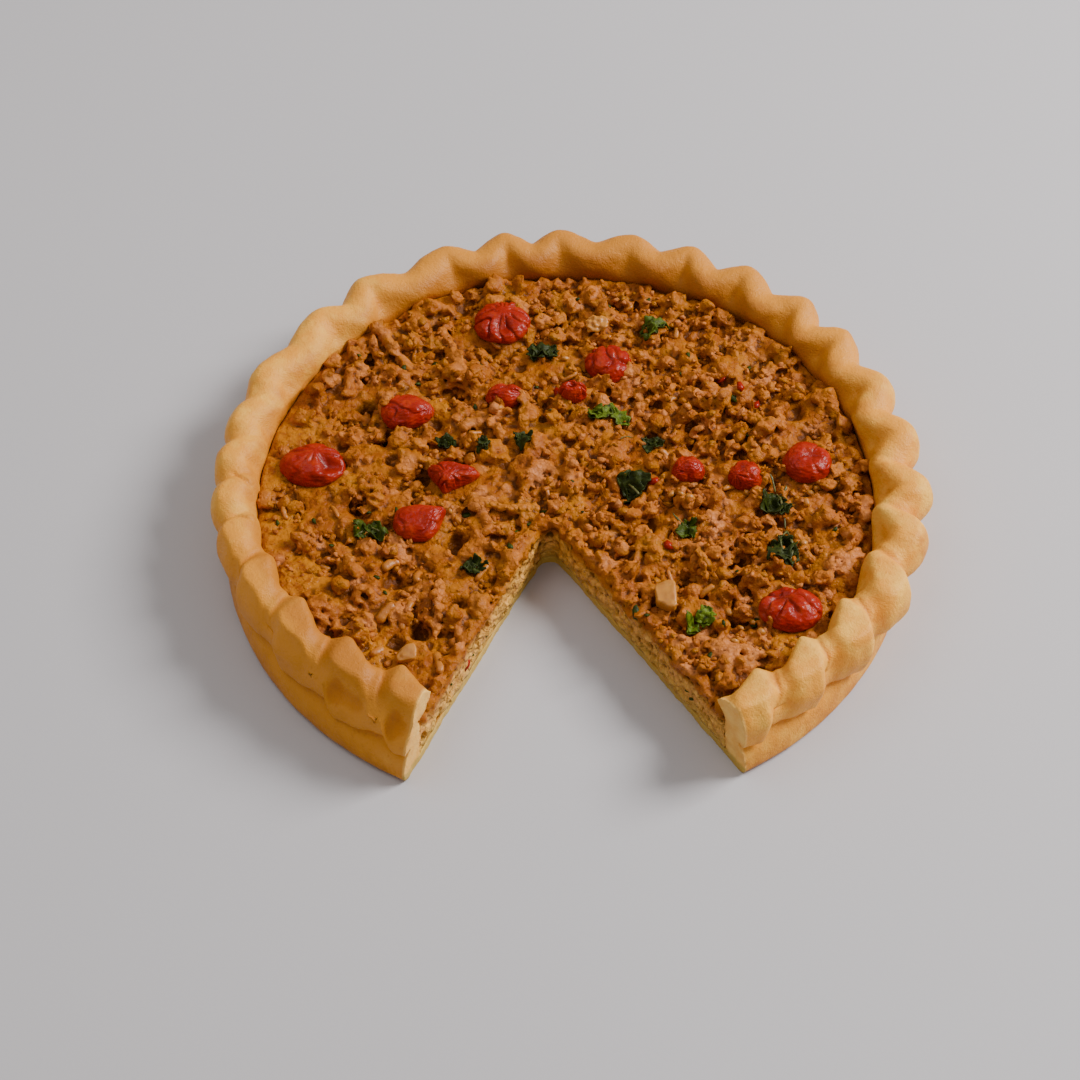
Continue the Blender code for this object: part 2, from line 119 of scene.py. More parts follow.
# Small cracks on the rim's left, by the pixels of both ends
RIM_CRACKS = ((229, 471, 256, 487), (232, 515, 256, 521), (262, 640, 280, 646))
RIM_SAMPLES = 60
RIM_HIGH = 28.4 * MM
RIM_MIDDLE = (111.5 * MM, 21.5 * MM)
CRACK_WIDTH = 0.55 * MM
CRACK_DEPTH = 1.5 * MM
UNDERSIDE_RADII = (0.0, 40.0, 80.0, 104.0)
INSIDE_ROWS = ((104.4, 14.0), (105.3, 9.0), (106.2, 3.2), (100.0, 3.0), (60.0, 3.0), (0.0, 3.0))
CREST_DEGREES = (
    9, 21, 33, 43, 55, 66, 77, 90, 100, 111, 127, 138, 154, 165, 174, 183,
    192, 203, 216, 229, 241, 252, 264, 276, 288, 301, 312, 323, 335, 347, 357,
)
STEPS_A_FLUTE = 34
FLUTE_SEED = 5
# How much the rim is painted darker, by angle in degrees: painted shade on the back's inner face
# and the front-left wall, which face away from the key light
RIM_SIDE_SHADE = (
    (0, 0.05), (30, 0.4), (60, 0.8), (90, 1.0), (115, 0.6), (135, 0.05), (170, 0.1), (195, 0.35),
    (225, 0.6), (245, 0.3), (301, 0.0), (345, 0.0), (360, 0.05),
)
# The missing slice: where the cuts would meet, their directions, and the blunt inner end
SLICE_APEX = Vector((-6.3 * MM, -9.6 * MM))
SLICE_LEFT = math.radians(-116.5)
SLICE_RIGHT = math.radians(-56.5)
SLICE_TIP_RADIUS = 4.4 * MM
SLICE_REACH = 150 * MM
SLICE_LOW = -12 * MM
SLICE_HIGH = 45 * MM

# Seeds of the random draws, besides the one in the sidebar
TOMATO_SEED = 21
HERB_SEED = 31
CRUMB_SEED = 41

# How many nodules stand out of the cuts, and how many small holes the cuts and the top have
CUT_NODULES = 1200
CUT_PITS = 150
TOP_PITS = 90

# The filling's body inside the case
FILLING_BOTTOM = 3.35 * MM
FILLING_RADIUS = 103.4 * MM
FILLING_FOOT_RADIUS = 105.8 * MM
FILLING_LEVEL = 19.0 * MM
FILLING_CELL = 1.9 * MM

# Hollows in the filling: the pixel of the photo that shows each, then radius and depth in mm
HOLLOWS = (
    (366, 356, 2.6, 6.0), (366, 401, 3.2, 4.0), (386, 430, 3.6, 5.5), (434, 416, 3.0, 3.5),
    (455, 389, 3.4, 4.0), (489, 343, 2.4, 4.0), (461, 301, 2.6, 3.0), (423, 470, 3.0, 4.5),
    (393, 453, 3.0, 3.0), (543, 409, 2.8, 5.0), (722, 377, 3.4, 3.5), (694, 416, 3.0, 3.5),
    (654, 428, 4.0, 4.5), (692, 435, 3.0, 3.5), (794, 406, 3.6, 4.0), (745, 414, 3.0, 3.5),
    (646, 516, 4.2, 5.0), (739, 553, 3.8, 6.0), (685, 572, 3.2, 4.5), (738, 612, 2.6, 4.0),
    (711, 627, 1.8, 3.0), (761, 661, 1.8, 3.0), (456, 535, 4.6, 6.0), (417, 624, 3.2, 5.0),
    (396, 635, 3.2, 4.5), (391, 573, 3.8, 4.0), (355, 498, 3.0, 4.0), (456, 598, 2.8, 5.0),
    (776, 500, 3.0, 4.0), (783, 540, 3.2, 4.5), (629, 485, 3.0, 3.5), (612, 300, 2.8, 3.0),
    (340, 440, 2.4, 3.0), (700, 350, 2.6, 3.0), (830, 430, 2.6, 3.0), (520, 360, 2.6, 3.0),
)
# Long flakes and strips: both ends as pixels of the photo, width in mm, height above the filling
LONG_FLAKES = (
    (441, 327, 467, 377, 3.6, 2.2), (378, 327, 405, 360, 3.8, 2.0), (353, 337, 348, 388, 3.4, 1.6),
    (372, 335, 382, 372, 2.6, 1.8), (465, 423, 508, 409, 3.6, 1.8), (525, 396, 523, 420, 2.8, 1.6),
    (485, 412, 501, 434, 2.6, 2.0), (728, 569, 770, 561, 2.6, 2.4), (698, 541, 706, 569, 2.8, 2.4),
    (647, 572, 645, 603, 3.4, 2.0), (625, 560, 634, 598, 3.6, 1.6), (439, 582, 436, 630, 2.8, 2.8),
    (428, 582, 426, 612, 2.4, 2.2), (466, 499, 503, 506, 2.6, 2.2), (467, 537, 498, 523, 3.0, 1.8),
    (483, 542, 512, 549, 2.8, 1.6), (700, 372, 722, 364, 2.6, 1.8), (715, 393, 768, 372, 2.6, 1.8),
    (774, 396, 782, 425, 2.8, 1.6), (640, 400, 668, 384, 3.0, 1.6), (735, 345, 752, 338, 3.0, 1.6),
)
# Large clumps: the pixel of each, radius in mm and height above the filling
CLUMPS = (
    (396, 374, 4.4, 1.6), (718, 546, 4.6, 2.6), (736, 648, 8.0, 2.0), (646, 500, 4.0, 2.4),
    (521, 507, 4.4, 2.2), (329, 377, 3.4, 1.6), (712, 520, 5.0, 2.2), (650, 545, 5.5, 2.0),
    (770, 620, 3.6, 1.6), (540, 470, 5.0, 1.8), (480, 500, 4.6, 1.6), (700, 640, 5.0, 1.8),
    (840, 560, 4.0, 1.2), (760, 380, 5.0, 1.6), (620, 330, 5.0, 1.6), (560, 300, 5.5, 1.8),
    (590, 420, 4.4, 1.6), (365, 590, 4.4, 1.8), (345, 560, 4.0, 1.4), (400, 545, 4.4, 1.6),
)
# Smooth pools of custard: pixel, radius in mm, and height above the level in mm
POOLS = (
    (268, 470, 11, 1.0), (275, 530, 12, 0.8), (300, 570, 10, 0.8), (290, 430, 8, 0.8),
    (372, 645, 7, 0.6), (350, 300, 7, 0.8), (420, 285, 9, 0.8), (470, 320, 6, 1.0),
    (505, 292, 7, 1.4), (838, 560, 9, 0.6), (790, 640, 8, 0.6), (420, 350, 5, 0.8),
    (440, 400, 5, 0.6), (350, 480, 6, 0.8), (570, 500, 6, 0.4), (640, 470, 5, 0.8),
)


def settings():
    """The four groups of values in the sidebar."""
    scene = bpy.context.scene
    return scene.tart_case, scene.tart_filling, scene.tart_toppings, scene.tart_stage


def colour_value(name, description, default):
    """A colour for the sidebar."""
    return FloatVectorProperty(
        name=name, description=description, default=default,
        subtype="COLOR", size=3, min=0.0, max=1.0,
    )


class CaseSettings(bpy.types.PropertyGroup):
    """Relief and colours of the pastry."""

    relief: FloatProperty(
        name="Relief", description="Height of the dough's unevenness",
        default=0.5 * MM, min=0.0, max=3 * MM, unit="LENGTH",
    )
    fold: FloatProperty(
        name="Fold", description="Height of the ridge where one flute lies over the next",
        default=2.1 * MM, min=0.0, max=4 * MM, unit="LENGTH",
    )
    crumble: FloatProperty(
        name="Crumble", description="Roughness of the cut edges",
        default=0.35 * MM, min=0.0, max=2 * MM, unit="LENGTH",
    )
    pale: colour_value(
        "Pale dough", "Colour of the palest pastry", (0.97, 0.5, 0.068))
    gold: colour_value(
        "Golden dough", "Colour of the golden pastry", (0.82, 0.32, 0.024))
    brown: colour_value(
        "Brown dough", "Colour of the darkest pastry", (0.42, 0.11, 0.006))


class FillingSettings(bpy.types.PropertyGroup):
    """Grain and colours of the baked filling."""

    grain: FloatProperty(
        name="Grain", description="Size of the cells that the filling's skin is made of",
        default=0.56 * MM, min=0.3 * MM, max=3 * MM, unit="LENGTH",
    )
    spacing: FloatProperty(
        name="Clump spacing", description="Least distance between two clumps of flakes",
        default=6.4 * MM, min=2 * MM, max=20 * MM, unit="LENGTH",
    )
    triangles: IntProperty(
        name="Triangles", description="Most triangles that the filling may have",
        default=190000, min=10000, max=195000,
    )
    seed: IntProperty(name="Seed", description="Which random clumps are laid", default=7, min=0)
    custard: colour_value(
        "Custard", "Colour of the baked custard", (0.26, 0.06, 0.002))
    flake: colour_value(
        "Flakes", "Colour of the tuna flakes", (0.3, 0.074, 0.009))
    cream: colour_value(
        "Cut", "Colour of the filling where it is cut", (0.88, 0.45, 0.1))


class ToppingSettings(bpy.types.PropertyGroup):
    """Numbers and colours of what lies on the filling."""

    crumbs: IntProperty(
        name="Crumbs", description="How many loose crumbs lie on the filling", default=1300, min=0,
    )
    strips: IntProperty(
        name="Strips", description="How many strips of cheese lie on the filling",
        default=30, min=0,
    )
    herbs: IntProperty(
        name="Herb bits", description="How many bits of herb lie on the filling", default=40, min=0,
    )
    tomato: colour_value(
        "Tomato", "Colour of the tomato skin", (0.29, 0.008, 0.0005))
    herb: colour_value(
        "Herb", "Colour of the baked leaves", (0.014, 0.018, 0.002))


class StageSettings(bpy.types.PropertyGroup):
    """Floor, lights and room light."""

    key: FloatProperty(
        name="Key light", description="Power of the large soft light", default=36.0, min=0.0,
        unit="POWER",
    )
    room: FloatProperty(
        name="Room light", description="Strength of the even light", default=0.4, min=0.0,
    )
    floor: colour_value(
        "Floor", "Colour of the floor", (0.51, 0.485, 0.495))


def deselect():
    """Leave nothing selected, as an operator acts on all that is."""
    bpy.ops.object.select_all(action="DESELECT")


def pick(thing):
    """Select one object alone and make it the active one."""
    deselect()
    thing.select_set(True)
    bpy.context.view_layer.objects.active = thing


def apply_modifier(thing, kind, **values):
    """Add a modifier, set it and apply it."""
    modifier = thing.modifiers.new(kind.lower(), kind)
    for name, value in values.items():
        setattr(modifier, name, value)
    pick(thing)
    bpy.ops.object.modifier_apply(modifier=modifier.name)


def discard(*things):
    """Remove helper objects, such as cutters."""
    for thing in things:
        bpy.data.objects.remove(thing, do_unlink=True)


def points_of(thing):
    """The mesh's points as an array of rows."""
    flat = np.empty(len(thing.data.vertices) * 3)
    thing.data.vertices.foreach_get("co", flat)
    return flat.reshape(-1, 3)


def set_points(thing, points):
    """Move the mesh's points."""
    thing.data.vertices.foreach_set("co", np.asarray(points, dtype=np.float32).ravel())
    thing.data.update()


def normals_of(thing):
    """The points' normals as an array of rows."""
    flat = np.empty(len(thing.data.vertices) * 3, dtype=np.float32)
    thing.data.vertex_normals.foreach_get("vector", flat)
    return flat.reshape(-1, 3).astype(float)


def store(thing, name, values):
    """Keep a number for each point, for the materials to read."""
    attribute = thing.data.attributes.new(name, "FLOAT", "POINT")
    attribute.data.foreach_set("value", np.asarray(values, dtype=np.float32))


def new_mesh(name, points, faces):
    """An object from arrays of points and faces."""
    mesh = bpy.data.meshes.new(name)
    mesh.from_pydata(np.asarray(points).tolist(), [], np.asarray(faces).tolist())
    mesh.update()
    thing = bpy.data.objects.new(name, mesh)
    bpy.context.scene.collection.objects.link(thing)
    return thing


def outward(thing, merge=0.001 * MM):
    """Merge doubled points, if a distance is given, and turn every face outwards."""
    pick(thing)
    bpy.ops.object.mode_set(mode="EDIT")
    bpy.ops.mesh.select_all(action="SELECT")
    if merge:
        bpy.ops.mesh.remove_doubles(threshold=merge)
    bpy.ops.mesh.normals_make_consistent(inside=False)
    bpy.ops.object.mode_set(mode="OBJECT")


def join(things, name):
    """Join objects into one mesh."""
    deselect()
    for thing in things:
        thing.select_set(True)
    bpy.context.view_layer.objects.active = things[0]
    bpy.ops.object.join()
    things[0].name = name
    things[0].data.name = name
    return things[0]


def finish_piece(piece, name, material, nodes=()):
    """Name a piece, shade it smooth, give it its material and its body, and hide the solids it
    takes the place of.
    """
    piece.name = name
    piece.data.name = name
    piece.data.materials.clear()
    piece.data.materials.append(material)
    pick(piece)
    bpy.ops.object.shade_smooth()
    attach(piece, "root")
    if nodes:
        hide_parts(*nodes)


def smooth_step(value):
    """0 up to 0, 1 from 1 on, and a smooth rise between, on numbers or arrays."""
    held = np.clip(value, 0.0, 1.0)
    return held * held * (3.0 - 2.0 * held)


def grain(points, size, offset=0.0):
    """Smooth noise from -1 to 1 at each point, for features of this size."""
    shift = Vector((offset, -offset, 0.5 * offset))
    rows = (np.asarray(points) / size).tolist()
    return np.array([noise.noise(Vector(row) + shift) for row in rows])


def craggy(points, size, octaves, offset=0.0):
    """Noise with finer noise on it at each point."""
    shift = Vector((offset, -offset, 0.5 * offset))
    rows = (np.asarray(points) / size).tolist()
    return np.array([noise.fractal(Vector(row) + shift, 0.8, 2.1, octaves) for row in rows])


def camera_matrix():
    """The place and turn of the photograph's camera."""
    back = Vector((0, -math.cos(CAMERA_TILT), math.sin(CAMERA_TILT)))
    right = Vector((1, 0, 0))
    up = back.cross(right)
    rolled = right * math.cos(CAMERA_ROLL) + up * math.sin(CAMERA_ROLL)
    raised = up * math.cos(CAMERA_ROLL) - right * math.sin(CAMERA_ROLL)
    place = Matrix((rolled, raised, back)).transposed().to_4x4()
    place.translation = CAMERA_TARGET + back * CAMERA_DISTANCE
    return place


def at_pixel(across, down, height=22 * MM):
    """Where the sight line through a pixel of the photograph meets a height, as x and y."""
    camera = camera_matrix()
    half = PHOTO_PIXELS / 2
    ray = camera.to_3x3() @ Vector((across - half, half - down, -FOCAL_PIXELS))
    eye = camera.translation
    return (eye + ray * ((height - eye.z) / ray.z)).xy


def rim_at(degrees):
    """The rim's five numbers at angles in degrees: two leans in metres, two swings and the fold."""
    table = np.array(RIM_ROUND, dtype=float)
    angles = np.append(table[:, 0], table[0, 0] + 360)
    columns = np.vstack([table[:, 1:], table[:1, 1:]]) * np.array((MM, MM, 1, 1, 1))
    return [np.interp(np.asarray(degrees) % 360, angles, column) for column in columns.T]


def smooth_rows(rows, samples):
    """A smooth path through rows of numbers, by Catmull-Rom curves spaced by distance."""
    table = np.array(rows, dtype=float)
    padded = np.vstack([2 * table[0] - table[1], table, 2 * table[-1] - table[-2]])
    steps = np.linalg.norm(np.diff(table[:, :2], axis=0), axis=1)
    reach = np.concatenate([[0], np.cumsum(steps)])
    path = []
    for distance in np.linspace(0, reach[-1], samples):
        span = min(np.searchsorted(reach, distance, side="right") - 1, len(steps) - 1)
        part = (distance - reach[span]) / steps[span]
        before, start, end, after = padded[span:span + 4]
        path.append(0.5 * (
            2 * start + (end - before) * part
            + (2 * before - 5 * start + 4 * end - after) * part ** 2
            + (3 * start - before - 3 * end + after) * part ** 3
        ))
    return np.array(path)


def slice_path(step):
    """The missing slice from above: one cut, the blunt end and the other cut, as x and y."""
    middle = (SLICE_LEFT + SLICE_RIGHT) / 2
    half = (SLICE_RIGHT - SLICE_LEFT) / 2
    centre = SLICE_APEX + Vector((math.cos(middle), math.sin(middle))) * (
        SLICE_TIP_RADIUS / math.sin(half))
    start = SLICE_RIGHT + math.pi / 2
    end = SLICE_LEFT + math.tau - math.pi / 2
    turns = max(4, round((end - start) * SLICE_TIP_RADIUS / step))
    tip = [
        centre + Vector((math.cos(angle), math.sin(angle))) * SLICE_TIP_RADIUS
        for angle in np.linspace(start, end, turns)
    ]
    sides = []
    for angle, near in ((SLICE_LEFT, tip[-1]), (SLICE_RIGHT, tip[0])):
        far = SLICE_APEX + Vector((math.cos(angle), math.sin(angle))) * SLICE_REACH
        count = round((far - near).length / step)
        sides.append([near.lerp(far, part / count) for part in range(1, count + 1)])
    return np.array([tuple(point) for point in sides[1][::-1] + tip + sides[0]])


def slice_wedge(step, roughness, offset):
    """A tall wedge on the slice's outline whose two sides are uneven, as a knife leaves them."""
    path = slice_path(step)
    levels = np.arange(SLICE_LOW, SLICE_HIGH, step)
    count = len(path)
    points = np.array([(x, y, z) for z in levels for x, y in path])
    along = np.gradient(path, axis=0)
    along /= np.linalg.norm(along, axis=1)[:, None]
    sideways = np.column_stack([along[:, 1], -along[:, 0]])
    wave = craggy(points, 3.2 * MM, 3, offset) + 1.2 * grain(points, 14 * MM, offset)
    points[:, :2] += np.tile(sideways, (len(levels), 1)) * (wave * roughness)[:, None]
    faces = []
    for level in range(len(levels) - 1):
        for place in range(count - 1):
            low = level * count + place
            faces.append((low, low + 1, low + 1 + count, low + count))
        low = level * count
        faces.append((low + count - 1, low, low + count, low + 2 * count - 1))
    wedge = new_mesh("slice_wedge", points, faces)
    shape = bmesh.new()
    shape.from_mesh(wedge.data)
    bmesh.ops.holes_fill(shape, edges=[edge for edge in shape.edges if edge.is_boundary])
    bmesh.ops.triangulate(shape, faces=shape.faces)
    bmesh.ops.recalc_face_normals(shape, faces=shape.faces)
    shape.to_mesh(wedge.data)
    shape.free()
    return wedge


def cut_depth(points):
    """How far each place is from the two cuts, outside the missing slice, in metres."""
    offset = np.asarray(points)[:, :2] - np.array(SLICE_APEX)
    left = offset @ np.array((math.sin(SLICE_LEFT), -math.cos(SLICE_LEFT)))
    right = offset @ np.array((-math.sin(SLICE_RIGHT), math.cos(SLICE_RIGHT)))
    return np.maximum(left, right)


def turns_at(degrees):
    """How many flutes on from the first crest an angle in degrees is."""
    flutes = len(CREST_DEGREES)
    places = np.concatenate([[CREST_DEGREES[-1] - 360], CREST_DEGREES, [CREST_DEGREES[0] + 360]])
    return np.interp(degrees % 360, places, np.arange(-1, flutes + 1))


def model_case(values):
    """Spin the case's section, press the flutes into its rim, and cut the slice out."""
    rim = smooth_rows(RIM_ROWS, RIM_SAMPLES)
    plain = np.zeros((1, 6))
    under = [np.hstack([[(radius, 0.0)], plain])[0] for radius in UNDERSIDE_RADII]
    inside = [np.hstack([[row], plain])[0] for row in INSIDE_ROWS]
    rows = np.vstack([under, rim, inside])
    rows[:, :5] *= MM
    flutes = len(CREST_DEGREES)
    steps = flutes * STEPS_A_FLUTE
    section = np.column_stack([rows[:, 0], np.zeros(len(rows)), rows[:, 1]])
    case = new_mesh("pastry_case", section, [])
    case.data.edges.add(len(rows) - 1)
    ends = [end for row in range(len(rows) - 1) for end in (row, row + 1)]
    case.data.edges.foreach_set("vertices", ends)
    case.data.update()
    pick(case)
    bpy.ops.object.mode_set(mode="EDIT")
    bpy.ops.mesh.select_all(action="SELECT")
    bpy.ops.mesh.spin(steps=steps, angle=math.tau, center=(0, 0, 0), axis=(0, 0, 1))
    bpy.ops.object.mode_set(mode="OBJECT")
    outward(case, 0.002 * MM)
    set_points(case, flute_points(points_of(case), rows, values))
    outward(case, 0)
    wedge = slice_wedge(1.1 * MM, values.crumble, 3.0)
    apply_modifier(case, "BOOLEAN", operation="DIFFERENCE", solver="MANIFOLD", object=wedge)
    discard(wedge)
    return case


def flute_points(points, rows, values):
    """Turn the plain spun case into a hand-pinched one."""
    flutes = len(CREST_DEGREES)
    radius = np.linalg.norm(points[:, :2], axis=1)
    nearest = np.empty(len(points), dtype=int)
    for start in range(0, len(points), 4000):
        part = slice(start, start + 4000)
        gaps = np.abs(radius[part, None] - rows[:, 0]) + np.abs(points[part, 2, None] - rows[:, 1])
        nearest[part] = gaps.argmin(axis=1)
    row = rows[nearest]
    turns = (np.arctan2(points[:, 1], points[:, 0]) % math.tau) / math.tau * flutes
    places = np.concatenate([CREST_DEGREES, [CREST_DEGREES[0] + 360]])
    degrees = np.interp(turns, np.arange(flutes + 1), places)
    draw = random.Random(FLUTE_SEED)
    depths = np.array([draw.uniform(0.8, 1.25) for _ in range(flutes)])
    depth = np.interp(turns, np.arange(flutes + 1), np.append(depths, depths[0]))
    side = row[:, 7]
    lean, lip_lean, outer_share, inner_share, twist = rim_at(degrees)
    outer = (2 * np.sqrt(np.cos(math.pi * turns) ** 2 + 0.012) - 1.1) * outer_share
    inner = (1 - 2 * np.sqrt(np.sin(math.pi * turns) ** 2 + 0.02)) * inner_share
    shift = (row[:, 2] * outer + row[:, 3] * inner) * depth
    shift -= row[:, 5] * lean + row[:, 6] * lip_lean
    on_rim = np.clip((row[:, 1] - 14.2 * MM) / (2.5 * MM), 0, 1) * (row[:, 0] > 102 * MM)
    on_rim *= np.clip((side + 0.62) / 0.3, 0.25, 1)
    swing = math.tau * (np.where(twist < 0, -1, 1) * turns - 0.75 - 0.5 * side)
    overlap = 1.9 * np.abs(np.cos((swing + 0.9 * (np.cos(swing) - 1)) / 2)) ** 3.6 - 0.65
    overlap -= 0.5 * np.exp(-((swing / math.tau + 0.74) % 1 - 0.5) ** 2 / 0.0016)
    lift = row[:, 4] * depth * (
        np.cos(math.tau * turns) * (1 - np.abs(twist)) + 0.9 * overlap * np.abs(twist))
    fold = np.abs(twist) * values.fold * overlap * on_rim
    angle = np.radians(degrees)
    reach = np.where(radius > 1e-6, radius + shift, 0)
    height = points[:, 2] + lift
    push = np.column_stack([reach, height]) - np.array(RIM_MIDDLE)
    push /= np.maximum(np.linalg.norm(push, axis=1), 1e-6)[:, None]
    made = np.column_stack([reach * np.cos(angle), reach * np.sin(angle), height])
    uneven = 0.9 * grain(made, 11 * MM, 4) + 0.5 * grain(made, 4 * MM, 9)
    uneven += 0.18 * grain(made, 1.6 * MM, 2)
    relief = values.relief * uneven * np.clip(made[:, 2] / (2 * MM), 0, 1) * (radius > 101 * MM)
    total = fold + relief
    made[:, 0] += push[:, 0] * np.cos(angle) * total
    made[:, 1] += push[:, 0] * np.sin(angle) * total
    made[:, 2] += push[:, 1] * total
    for x0, y0, x1, y1 in RIM_CRACKS:
        start, end = (np.array(at_pixel(*pixel, 27 * MM)) for pixel in ((x0, y0), (x1, y1)))
        run = end - start
        share = np.clip((made[:, :2] - start) @ run / (run @ run), 0, 1)
        gap = np.linalg.norm(made[:, :2] - start - share[:, None] * run, axis=1)
        crack = np.exp(-(gap / CRACK_WIDTH) ** 2) * np.sin(math.pi * share)
        made[:, 2] -= CRACK_DEPTH * crack * on_rim
    over = np.maximum(made[:, 2] - RIM_HIGH, 0)
    made[:, 2] += MM * (1 - np.exp(-over / MM)) - over
    return made


def mark_case(case):
    """Numbers for the pastry's finish: crests, pockets, cut, a painted shade by side, inner side
    and hollows.
    """
    points = points_of(case)
    degrees = np.degrees(np.arctan2(points[:, 1], points[:, 0])) % 360
    turns = turns_at(degrees)
    radius = np.linalg.norm(points[:, :2], axis=1)
    wave = 0.5 + 0.5 * np.cos(math.tau * turns)
    crest = smooth_step((radius - 116 * MM) / (4 * MM)) * wave
    lobe = smooth_step((112 * MM - radius) / (6 * MM)) * (1 - wave)
    # Crests: the finish paints them paler, a painted highlight
    store(case, "crest", np.maximum(crest, 0.6 * lobe))
    # Pockets: the finish adds a little painted shade there
    store(case, "pocket", smooth_step((113 * MM - radius) / (5 * MM)) * wave)
    store(case, "cut", smooth_step(1 - (cut_depth(points) - 0.35 * MM) / (0.6 * MM)))
    # The baked mark holds painted shade by angle, from the table above, not browning
    store(case, "baked", np.interp(degrees, *np.transpose(RIM_SIDE_SHADE)))
    # Inner side: a stain from the filling, with painted shade, most on the back
    store(case, "inner", smooth_step((110 * MM - radius) / (6 * MM)))
    # Hollow: depth below the smoothed rim, which the finish paints as shade in the creases
    store(case, "hollow", np.clip(0.5 + hollowness(case, 40) / (1.6 * MM), 0, 1))


def topping_spots():
    """Where the tomato pieces lie and how far each reaches, as x, y and radius."""
    spots = []
    for name in sorted(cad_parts):
        if name.startswith("tomato"):
            low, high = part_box(name)
            middle = (low + high) / 2
            spots.append((middle.x, middle.y, (high - low).xy.length / 2 / math.sqrt(2)))
    return spots


def bareness(places):
    """Where custard shows between the clumps, from 0 to 1, at rows of x and y."""
    flat = np.column_stack([places, np.zeros(len(places))])
    broad = grain(flat, 15 * MM, 1.7) - 0.12 * np.sign(-places[:, 0])
    return smooth_step((-broad + 0.03) / 0.2)


def filling_height(places):
    """The custard's surface below the clumps at rows of x and y."""
    flat = np.column_stack([places, np.zeros(len(places))])
    height = FILLING_LEVEL - 2.2 * MM + 1.2 * MM * grain(flat, 14 * MM, 1)
    height += 0.7 * MM * grain(flat, 5 * MM, 6)
    height += 2.0 * MM * bareness(places)
    for across, down, reach, lift in POOLS:
        gap = np.linalg.norm(places - np.array(at_pixel(across, down)), axis=1) / (reach * MM)
        share = smooth_step(1.6 - 1.2 * gap)
        height = height * (1 - share) + (FILLING_LEVEL + lift * MM) * share
    for x, y, reach in topping_spots():
        gap = np.linalg.norm(places - np.array((x, y)), axis=1) / reach
        share = smooth_step(2.2 - 1.6 * gap)
        height = height * (1 - share) + FILLING_LEVEL * share
    for across, down, reach, depth in HOLLOWS:
        gap = np.linalg.norm(places - np.array(at_pixel(across, down)), axis=1) / (reach * MM)
        height -= depth * MM * np.exp(-gap ** 4)
    return height


def model_core():
    """A slab with the custard's uneven top, as wide as the case's inside and cut by the slice."""
    reach = FILLING_FOOT_RADIUS + 3 * FILLING_CELL
    cells = round(2 * reach / FILLING_CELL)
    deselect()
    bpy.ops.mesh.primitive_grid_add(x_subdivisions=cells, y_subdivisions=cells, size=2 * reach)
    core = bpy.context.object
    bpy.ops.object.mode_set(mode="EDIT")
    bpy.ops.mesh.select_all(action="SELECT")
    bpy.ops.mesh.extrude_region_move(TRANSFORM_OT_translate={"value": (0, 0, -SLICE_HIGH)})
    bpy.ops.object.mode_set(mode="OBJECT")
    outward(core, 0)
    points = points_of(core)
    upper = points[:, 2] > -SLICE_HIGH / 2
    points[upper, 2] = filling_height(points[upper, :2])
    points[~upper, 2] = FILLING_BOTTOM - FILLING_CELL
    set_points(core, points)
    depth = SLICE_HIGH
    taper = (FILLING_RADIUS - FILLING_FOOT_RADIUS) / (FILLING_LEVEL - FILLING_BOTTOM)
    deselect()
    bpy.ops.mesh.primitive_cone_add(
        vertices=160, radius1=FILLING_FOOT_RADIUS, radius2=FILLING_FOOT_RADIUS + taper * depth,
        depth=depth, location=(0, 0, FILLING_BOTTOM + depth / 2),
    )
    former = bpy.context.object
    apply_modifier(core, "BOOLEAN", operation="INTERSECT", solver="MANIFOLD", object=former)
    wedge = slice_wedge(1.6 * MM, 0.8 * MM, 8.0)
    apply_modifier(core, "BOOLEAN", operation="DIFFERENCE", solver="MANIFOLD", object=wedge)
    discard(former, wedge)
    return core


def scattered(draw, tries, spacing, allowed):
    """Random places on the filling, no two closer than the spacing, where a rule allows them."""
    taken = {}
    places = []
    for _ in range(tries):
        radius = FILLING_RADIUS * math.sqrt(draw.random())
        angle = draw.uniform(0, math.tau)
        x, y = radius * math.cos(angle), radius * math.sin(angle)
        column, line = int(x // spacing), int(y // spacing)
        near = [
            place for across in (-1, 0, 1) for up in (-1, 0, 1)
            for place in taken.get((column + across, line + up), ())
        ]
        if any(math.hypot(x - px, y - py) < spacing for px, py in near):
            continue
        if allowed(x, y):
            taken.setdefault((column, line), []).append((x, y))
            places.append((x, y))
    return places


def clump_rule():
    """A test of whether a clump fits at a place: off the cut, the rim, pools, pits and toppings."""
    pools = [(*at_pixel(across, down), reach * MM * 0.9) for across, down, reach, _ in POOLS]
    pits = [(*at_pixel(across, down), reach * MM * 1.05) for across, down, reach, _ in HOLLOWS]
    toppings = [(x, y, reach * 0.96) for x, y, reach in topping_spots()]
    kept_clear = pools + pits + toppings

    def allowed(x, y):
        place = np.array([(x, y)])
        angle = math.degrees(math.atan2(y, x)) % 360
        if cut_depth(place)[0] < 0.3 * MM:
            return False
        if math.hypot(x, y) > FILLING_RADIUS - 0.8 * MM - 0.6 * rim_at(angle)[0]:
            return False
        return all(math.hypot(x - px, y - py) > reach for px, py, reach in kept_clear)

    return allowed


